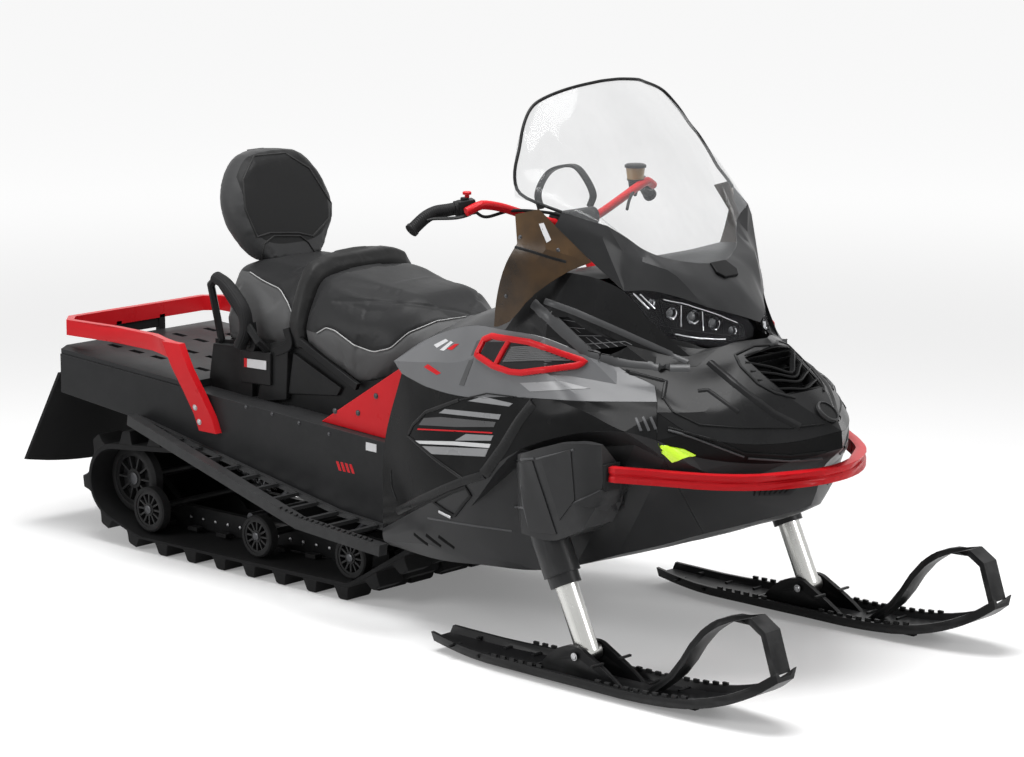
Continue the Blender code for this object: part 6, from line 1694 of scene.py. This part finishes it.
class SLED_OT_wheels(bpy.types.Operator):
    """Idler wheels: rubber tyre, rim, spokes, hub with cap, and the axle between each pair"""
    bl_idname = "sled.wheels"
    bl_label = "Wheels"

    def execute(self, context):
        for node, x, z, radius, apart, spokes in WHEELS:
            rims, tyres, caps = [], [], []
            r = radius - WHEEL_PLAY
            for side in (-1.0, 1.0):
                y = side * apart
                heart = (x, y, z)
                tyres.append(turned([(w, r * share) for w, share in TYRE_PROFILE], heart, "Y", 48))
                rims.append(turned([(w, r * share) for w, share in RIM_PROFILE], heart, "Y", 48))
                rims.append(turned([(w, r * share) for w, share in HUB_PROFILE], heart, "Y", 24))
                inward = (x, y - side * WEB_SHIFT, z)
                rims.append(turned([(w, r * share) for w, share in WEB_PROFILE], inward, "Y", 48))
                for k in range(spokes):
                    a = 2.0 * math.pi * k / spokes
                    ends = [np.array([x + math.cos(a) * r * share, y, z + math.sin(a) * r * share])
                            for share in SPOKE_SHARES]
                    rims.append(swept(ends, bar_profile(*SPOKE_HALVES), up=ACROSS))
                out = np.array([0.0, side, 0.0])
                face = np.array(heart) + out * CAP_PLACE
                cap = [(w, r * share) for w, share in CAP_SHARES]
                caps.append(turned_between(face, face + out * CAP_HEIGHT, cap, 20))
            axle = [(-apart, 0.0), (-apart, AXLE_RADIUS), (apart, AXLE_RADIUS), (apart, 0.0)]
            rims.append(turned(axle, (x, 0.0, z), "Y", 16))
            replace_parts(new_piece(node + "_rims", rims, "wheel", bevel=0.0006), node)
            new_piece(node + "_tyres", tyres, "rubber", slot="rubber")
            new_piece(node + "_caps", caps, "steel", slot="dark_metal")
        return {"FINISHED"}


WHEEL_PLAY, AXLE_RADIUS, WEB_SHIFT, CAP_PLACE, CAP_HEIGHT = 0.0006, 0.011, 0.006, 0.0145, 0.006
SPOKE_SHARES, SPOKE_HALVES = (0.26, 0.70), (0.0028, 0.013)
# Profiles: place along the axle and share of the radius; the cap's first is a share of its height
TYRE_PROFILE = ((-0.016, 0.80), (-0.017, 0.93), (-0.013, 1.0), (0.013, 1.0), (0.017, 0.93), (0.016, 0.80),
                (-0.016, 0.80))
RIM_PROFILE = ((-0.014, 0.68), (-0.014, 0.81), (0.014, 0.81), (0.014, 0.68), (-0.014, 0.68))
HUB_PROFILE = ((-0.015, 0.0), (-0.015, 0.30), (0.015, 0.30), (0.015, 0.0))
WEB_PROFILE = ((-0.003, 0.25), (-0.003, 0.72), (0.003, 0.72), (0.003, 0.25), (-0.003, 0.25))
CAP_SHARES = ((0.0, 0.0), (0.0, 0.20), (0.6, 0.19), (1.0, 0.12), (1.0, 0.0))


class SLED_OT_suspension(bpy.types.Operator):
    """Dampers with springs inside the track, and rail bolts"""
    bl_idname = "sled.suspension"
    bl_label = "Suspension details"

    def execute(self, context):
        tubes, coils = [], []
        for start, end in DAMPERS:
            start, end = np.array(start), np.array(end)
            tubes.append(turned_between(start, end, DAMPER_PROFILE, 24))
            axis = unit(end - start)
            side = unit(np.cross(axis, ACROSS))
            over = np.cross(axis, side)
            a = np.linspace(0.0, SPRING_TURNS * 2.0 * math.pi, int(SPRING_TURNS * 16))
            share = np.linspace(*SPRING_SHARES, len(a))[:, None]
            ring = np.cos(a)[:, None] * side + np.sin(a)[:, None] * over
            coil = start + (end - start) * share + ring * SPRING_RADIUS
            coils.append(swept(coil, round_profile(SPRING_WIRE, 8)))
        new_piece("damper_tubes", tubes, "silver", slot="silver_metal")
        new_piece("damper_springs", coils, "steel", slot="dark_metal")
        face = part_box("slide_rail_right")[0].y - 0.001
        bolts = [bolt((x, face, RAIL_BOLT_Z), AWAY, 0.0042, 0.003) for x in np.arange(*RAIL_BOLT_RUN)]
        new_piece("rail_bolts", both_sides(bolts), "zinc", slot="silver_metal")
        return {"FINISHED"}


DAMPERS = (((-0.93, -0.055, 0.300), (-0.66, -0.055, 0.200)), ((-0.47, 0.0, 0.160), (-0.12, 0.0, 0.300)))
DAMPER_PROFILE = ((0.0, 0.0), (0.0, 0.012), (0.05, 0.012), (0.06, 0.020), (0.50, 0.020), (0.52, 0.008),
                  (0.95, 0.008), (0.96, 0.013), (1.0, 0.013), (1.0, 0.0))
SPRING_TURNS, SPRING_SHARES, SPRING_RADIUS, SPRING_WIRE = 7.5, (0.40, 0.93), 0.027, 0.0042
RAIL_BOLT_RUN, RAIL_BOLT_Z = (-0.93, -0.17, 0.052), 0.084


class SLED_OT_skis(bpy.types.Operator):
    """Ski details: grip teeth along the edges, ribs, pivot bolt and loop bolts"""
    bl_idname = "sled.skis"
    bl_label = "Ski details"

    def execute(self, context):
        for side, sign in SIDES:
            tree = surface_tree("ski_%s_shell" % side)
            middle = sign * SKI_APART
            teeth, bolts = [], []
            for x in [x for run in EDGE_TOOTH_RUNS for x in np.arange(*run)]:
                for y in (middle - EDGE_TOOTH_Y, middle + EDGE_TOOTH_Y):
                    top = height_below(tree, x, y, 0.5)
                    if top < EDGE_TOOTH_TOP:
                        teeth.append(block(x - TOOTH_LONG, x + TOOTH_LONG, y - TOOTH_HALF, y + TOOTH_HALF,
                                           top - TOOTH_SINK, EDGE_TOOTH_HEIGHT))
            for x in np.arange(*SKI_RIB_RUN):
                z = height_below(tree, x, middle - SKI_RIB_Y, 0.3)
                if z < SKI_RIB_TOP:
                    for near, far in SKI_RIBS:
                        teeth.append(block(x - TOOTH_HALF, x + TOOTH_HALF, middle + near, middle + far,
                                           z - TOOTH_SINK, SKI_RIB_HEIGHT))
            for out in (-1.0, 1.0):
                for x, z, radius, height in SKI_BOLTS:
                    hit = tree.ray_cast(Vector((x, middle + out * 0.2, z)), Vector((0.0, -out, 0.0)))
                    if hit[0] is not None:
                        bolts.append(bolt(hit[0], (0.0, out, 0.0), radius, height))
            body = "ski_" + side
            new_piece("ski_teeth_" + side, teeth, "ski", body, bevel=0.0012)
            new_piece("ski_bolts_" + side, bolts, "zinc", body, slot="silver_metal")
        return {"FINISHED"}


def height_below(tree, x, y, start):
    """Height of the surface under a point, or infinity where there is none."""
    hit = tree.ray_cast(Vector((x, y, start)), Vector((0.0, 0.0, -1.0)))[0]
    return math.inf if hit is None else hit.z


SKI_APART, TOOTH_SINK, TOOTH_LONG, TOOTH_HALF = 0.45, 0.001, 0.008, 0.004
# runs are start, end and step along x; nothing sits where the ski's top is above TOP
EDGE_TOOTH_RUNS = ((0.50, 0.78, 0.030), (0.96, 1.25, 0.030))
EDGE_TOOTH_Y, EDGE_TOOTH_TOP, EDGE_TOOTH_HEIGHT = 0.078, 0.13, 0.009
SKI_RIB_RUN, SKI_RIBS = (0.46, 1.22, 0.095), ((-0.074, -0.030), (0.030, 0.074))
SKI_RIB_Y, SKI_RIB_TOP, SKI_RIB_HEIGHT = 0.045, 0.07, 0.006
# x, z, radius and height of each bolt head
SKI_BOLTS = ((0.862, 0.078, 0.008, 0.005), (1.425, 0.125, 0.006, 0.004))


class SLED_OT_rear(bpy.types.Operator):
    """Rail hanger and the running boards' teeth"""
    bl_idname = "sled.rear"
    bl_label = "Rear details"

    def execute(self, context):
        parts = []
        for y in (-HANGER_Y, HANGER_Y):
            near, far = y - HANGER_HALF, y + HANGER_HALF
            parts.append(block(HANGER_BACK, -1.296, near, far, 0.554, HANGER_DROP))
            parts.append(slab([(HANGER_BACK, near, 0.556), (-1.270, near, 0.548), (-1.270, far, 0.548),
                               (HANGER_BACK, far, 0.556)], (0.0, 0.0, 1.0), HANGER_HOOK))
        parts.append(block(-1.312, -1.300, -0.075, 0.075, 0.572, HANGER_BAR))
        new_piece("rail_hanger", parts, "black", bevel=0.002)
        tree = surface_tree("running_board_right_shell")
        teeth = []
        for x in np.arange(*BOARD_RUN):
            z = height_below(tree, x, BOARD_Y, 0.9) - TOOTH_SINK
            if z < math.inf:
                foot = [(x + along, BOARD_Y + y, z) for along, y in BOARD_TOOTH]
                teeth.append(slab(foot, (0.0, 0.0, 1.0), BOARD_TOOTH_HEIGHT))
        new_piece("board_teeth", both_sides(teeth), "tunnel", slot="dark_metal")
        return {"FINISHED"}


HANGER_Y, HANGER_HALF, HANGER_BACK = 0.085, 0.012, -1.314
HANGER_DROP, HANGER_HOOK, HANGER_BAR = 0.058, 0.010, 0.034
BOARD_RUN, BOARD_Y, BOARD_TOOTH_HEIGHT = (-0.86, 0.15, 0.020), -0.478, 0.006
BOARD_TOOTH = ((-0.004, -0.006), (0.004, -0.006), (0.002, 0.006), (-0.002, 0.006))


class SLED_OT_fasteners(bpy.types.Operator):
    """Bolts of the frame plates, tunnel and rail feet, plain accents and plates, and the board brackets"""
    bl_idname = "sled.fasteners"
    bl_label = "Fasteners"

    def execute(self, context):
        dark = [bolt(at_width([place], y)[0], AWAY, radius, height)
                for places, y, radius, height in PLATE_BOLTS for place in places]
        new_piece("dark_bolts", both_sides(dark), "steel", slot="dark_metal")
        tree = surface_tree("rear_rail_shell")
        bright = []
        for x, z in FOOT_BOLTS:
            hit = tree.ray_cast(Vector((x, -0.6, z)), Vector(ACROSS))
            bright.append(bolt(hit[0], hit[1], FOOT_BOLT_RADIUS, FOOT_BOLT_HEIGHT))
        new_piece("rail_foot_bolts", both_sides(bright), "zinc", slot="silver_metal")
        tree = surface_tree("tunnel_shell")
        bars = [[(u + shift, v + ACCENT_FALL * shift) for u, v in ACCENT_BAR] for shift in ACCENT_SHIFTS]
        laid_plates("tunnel_accents", tree, alike(bars, 0.0006, 0.001), "red", 3, 3, slot="red_paint")
        laid_plates("tunnel_plates", tree, TUNNEL_PLATES, "pale", 3, 3, slot="grey_plastic")
        bracket = slab(BOARD_BRACKET, AWAY, BRACKET_WALL)
        new_piece("board_brackets", both_sides([bracket]), "silver", bevel=0.002, slot="silver_metal")
        return {"FINISHED"}


PLATE_BOLTS = (
    # places, distance from the middle plane, radius, height
    (((335, 411), (358, 413), (376, 396)), -0.2903, 0.0065, 0.004),
    (((299, 423), (329, 434), (272, 414), (246, 407)), -0.3183, 0.0045, 0.003),
)
FOOT_BOLTS, FOOT_BOLT_RADIUS, FOOT_BOLT_HEIGHT = ((-0.668, 0.430), (-0.680, 0.470)), 0.007, 0.004
ACCENT_BAR = ((336, 461), (338.6, 461.6), (341.6, 471), (339, 470.4))
ACCENT_SHIFTS, ACCENT_FALL = (0.0, 4.4, 8.8, 13.2), 0.22
TUNNEL_PLATES = ((((366, 442), (376.5, 444.5), (376.5, 452.5), (366, 450)), 0.0008, 0.0012),)
BOARD_BRACKET = ((0.150, -0.330, 0.262), (0.190, -0.330, 0.262), (0.186, -0.330, 0.214), (0.158, -0.330, 0.220))
BRACKET_WALL = 0.010


# Studio

def direct_rays(tree):
    """1 for what the camera sees straight, in a reflection or through glass, and 0 for light on the object."""
    ray = tree.nodes.new("ShaderNodeLightPath")
    through = math_node(tree, "MAXIMUM", ray.outputs["Is Glossy Ray"], ray.outputs["Is Transmission Ray"])
    return math_node(tree, "MAXIMUM", ray.outputs["Is Camera Ray"], through)


def stage_material(name, colour, lift):
    """Pale floor: plain diffuse, lifted for the camera alone so that it reads as white with a soft shadow."""
    material = bpy.data.materials.new(name)
    material.use_nodes = True
    tree = material.node_tree
    tree.nodes.clear()
    out = tree.nodes.new("ShaderNodeOutputMaterial")
    matt = tree.nodes.new("ShaderNodeBsdfDiffuse")
    glow = tree.nodes.new("ShaderNodeEmission")
    both = tree.nodes.new("ShaderNodeAddShader")
    matt.inputs["Color"].default_value = (*colour, 1.0)
    direct = direct_rays(tree)
    place = tree.nodes.new("ShaderNodeTexCoord")
    far = tree.nodes.new("ShaderNodeVectorMath")
    far.operation = "LENGTH"
    tree.links.new(place.outputs["Object"], far.inputs[0])
    rise = tree.nodes.new("ShaderNodeMapRange")
    rise.interpolation_type = "SMOOTHSTEP"
    for key, number in (("From Min", 1.5), ("From Max", 9.0), ("To Min", lift[0]), ("To Max", lift[1])):
        rise.inputs[key].default_value = number
    tree.links.new(far.outputs["Value"], rise.inputs["Value"])
    tree.links.new(math_node(tree, "MULTIPLY", direct, rise.outputs[0]), glow.inputs["Strength"])
    tree.links.new(matt.outputs[0], both.inputs[0])
    tree.links.new(glow.outputs[0], both.inputs[1])
    tree.links.new(both.outputs[0], out.inputs["Surface"])
    return material


def area_lamp(name, place, target, size, power):
    lamp = bpy.data.lights.new(name, "AREA")
    lamp.shape = "RECTANGLE"
    lamp.size, lamp.size_y = size
    lamp.energy = power
    item = bpy.data.objects.new(name, lamp)
    item.location = place
    item.rotation_euler = (Vector(target) - Vector(place)).to_track_quat("-Z", "Y").to_euler()
    bpy.context.scene.collection.objects.link(item)
    return item


class SLED_OT_stage(bpy.types.Operator):
    """Pale floor, soft lamps, world and the camera at the photograph's angle"""
    bl_idname = "sled.stage"
    bl_label = "Studio"

    def execute(self, context):
        scene = context.scene
        mesh = bpy.data.meshes.new("studio_floor")
        corners = [(x, y, FLOOR_Z) for x, y in bar_profile(FLOOR_REACH, FLOOR_REACH)]
        mesh.from_pydata(corners, [], [(0, 1, 2, 3)])
        mesh.materials.append(stage_material("pale_floor", (0.78, 0.78, 0.78), (0.20, 0.66)))
        floor = bpy.data.objects.new("studio_floor", mesh)
        scene.collection.objects.link(floor)
        world = bpy.data.worlds.new("studio_world")
        world.use_nodes = True
        tree = world.node_tree
        tree.nodes.clear()
        out = tree.nodes.new("ShaderNodeOutputWorld")
        back = tree.nodes.new("ShaderNodeBackground")
        back.inputs["Color"].default_value = (1.0, 1.0, 1.0, 1.0)
        strength = math_node(tree, "ADD", math_node(tree, "MULTIPLY", direct_rays(tree), 0.65), 0.35)
        tree.links.new(strength, back.inputs["Strength"])
        tree.links.new(back.outputs[0], out.inputs["Surface"])
        scene.world = world
        for lamp in SOFTBOXES:
            area_lamp(*lamp)
        lens = bpy.data.cameras.new("camera")
        lens.lens, lens.sensor_width, lens.sensor_fit = CAMERA_LENS, CAMERA_SENSOR, "HORIZONTAL"
        lens.clip_end = 200.0
        camera = bpy.data.objects.new("camera", lens)
        turn = Matrix(camera_axes()).transposed().to_4x4()
        turn.translation = Vector(CAMERA_PLACE)
        camera.matrix_world = turn
        scene.collection.objects.link(camera)
        scene.camera = camera
        scene.view_settings.view_transform = "Standard"
        return {"FINISHED"}


FLOOR_REACH, FLOOR_Z = 60.0, -0.001
SOFTBOXES = (
    # name, place, aim, size, watts
    ("overhead_softbox", (0.3, -0.4, 4.2), (0.0, 0.0, 0.5), (3.4, 2.0), 210.0),
    ("side_softbox", (-1.6, -4.6, 2.4), (0.1, 0.0, 0.6), (2.6, 1.0), 85.0),
    ("front_softbox", (5.2, 1.6, 2.6), (0.7, 0.0, 0.6), (1.6, 1.2), 70.0),
)


class SLED_PT_panel(bpy.types.Panel):
    """Lists the steps and settings"""
    bl_idname = "SLED_PT_panel"
    bl_label = "Snowmobile"
    bl_space_type = "VIEW_3D"
    bl_region_type = "UI"
    bl_category = "Snowmobile"

    def draw(self, context):
        for settings in (context.scene.sled_colours, context.scene.sled_sizes):
            for name in settings.__annotations__:
                self.layout.prop(settings, name)
        for step in STEPS:
            self.layout.operator(step.bl_idname)


STEPS = (SLED_OT_finishes, SLED_OT_panels, SLED_OT_screen_trim, SLED_OT_deflector_trim, SLED_OT_lamps,
         SLED_OT_shoulders, SLED_OT_vents, SLED_OT_stripes, SLED_OT_lower_sides, SLED_OT_nose, SLED_OT_controls,
         SLED_OT_seats, SLED_OT_seat_base,
         SLED_OT_track, SLED_OT_wheels, SLED_OT_suspension, SLED_OT_skis, SLED_OT_rear, SLED_OT_fasteners,
         SLED_OT_stage)
CLASSES = (SledColours, SledSizes) + STEPS + (SLED_PT_panel,)


def register():
    for item in CLASSES:
        bpy.utils.register_class(item)
    bpy.types.Scene.sled_colours = bpy.props.PointerProperty(type=SledColours)
    bpy.types.Scene.sled_sizes = bpy.props.PointerProperty(type=SledSizes)


def unregister():
    del bpy.types.Scene.sled_sizes
    del bpy.types.Scene.sled_colours
    for item in reversed(CLASSES):
        bpy.utils.unregister_class(item)


def main():
    register()
    for step in STEPS:
        group_name, step_name = step.bl_idname.split(".")
        getattr(getattr(bpy.ops, group_name), step_name)()
    bpy.context.view_layer.update()


if __name__ == "__main__":
    main()
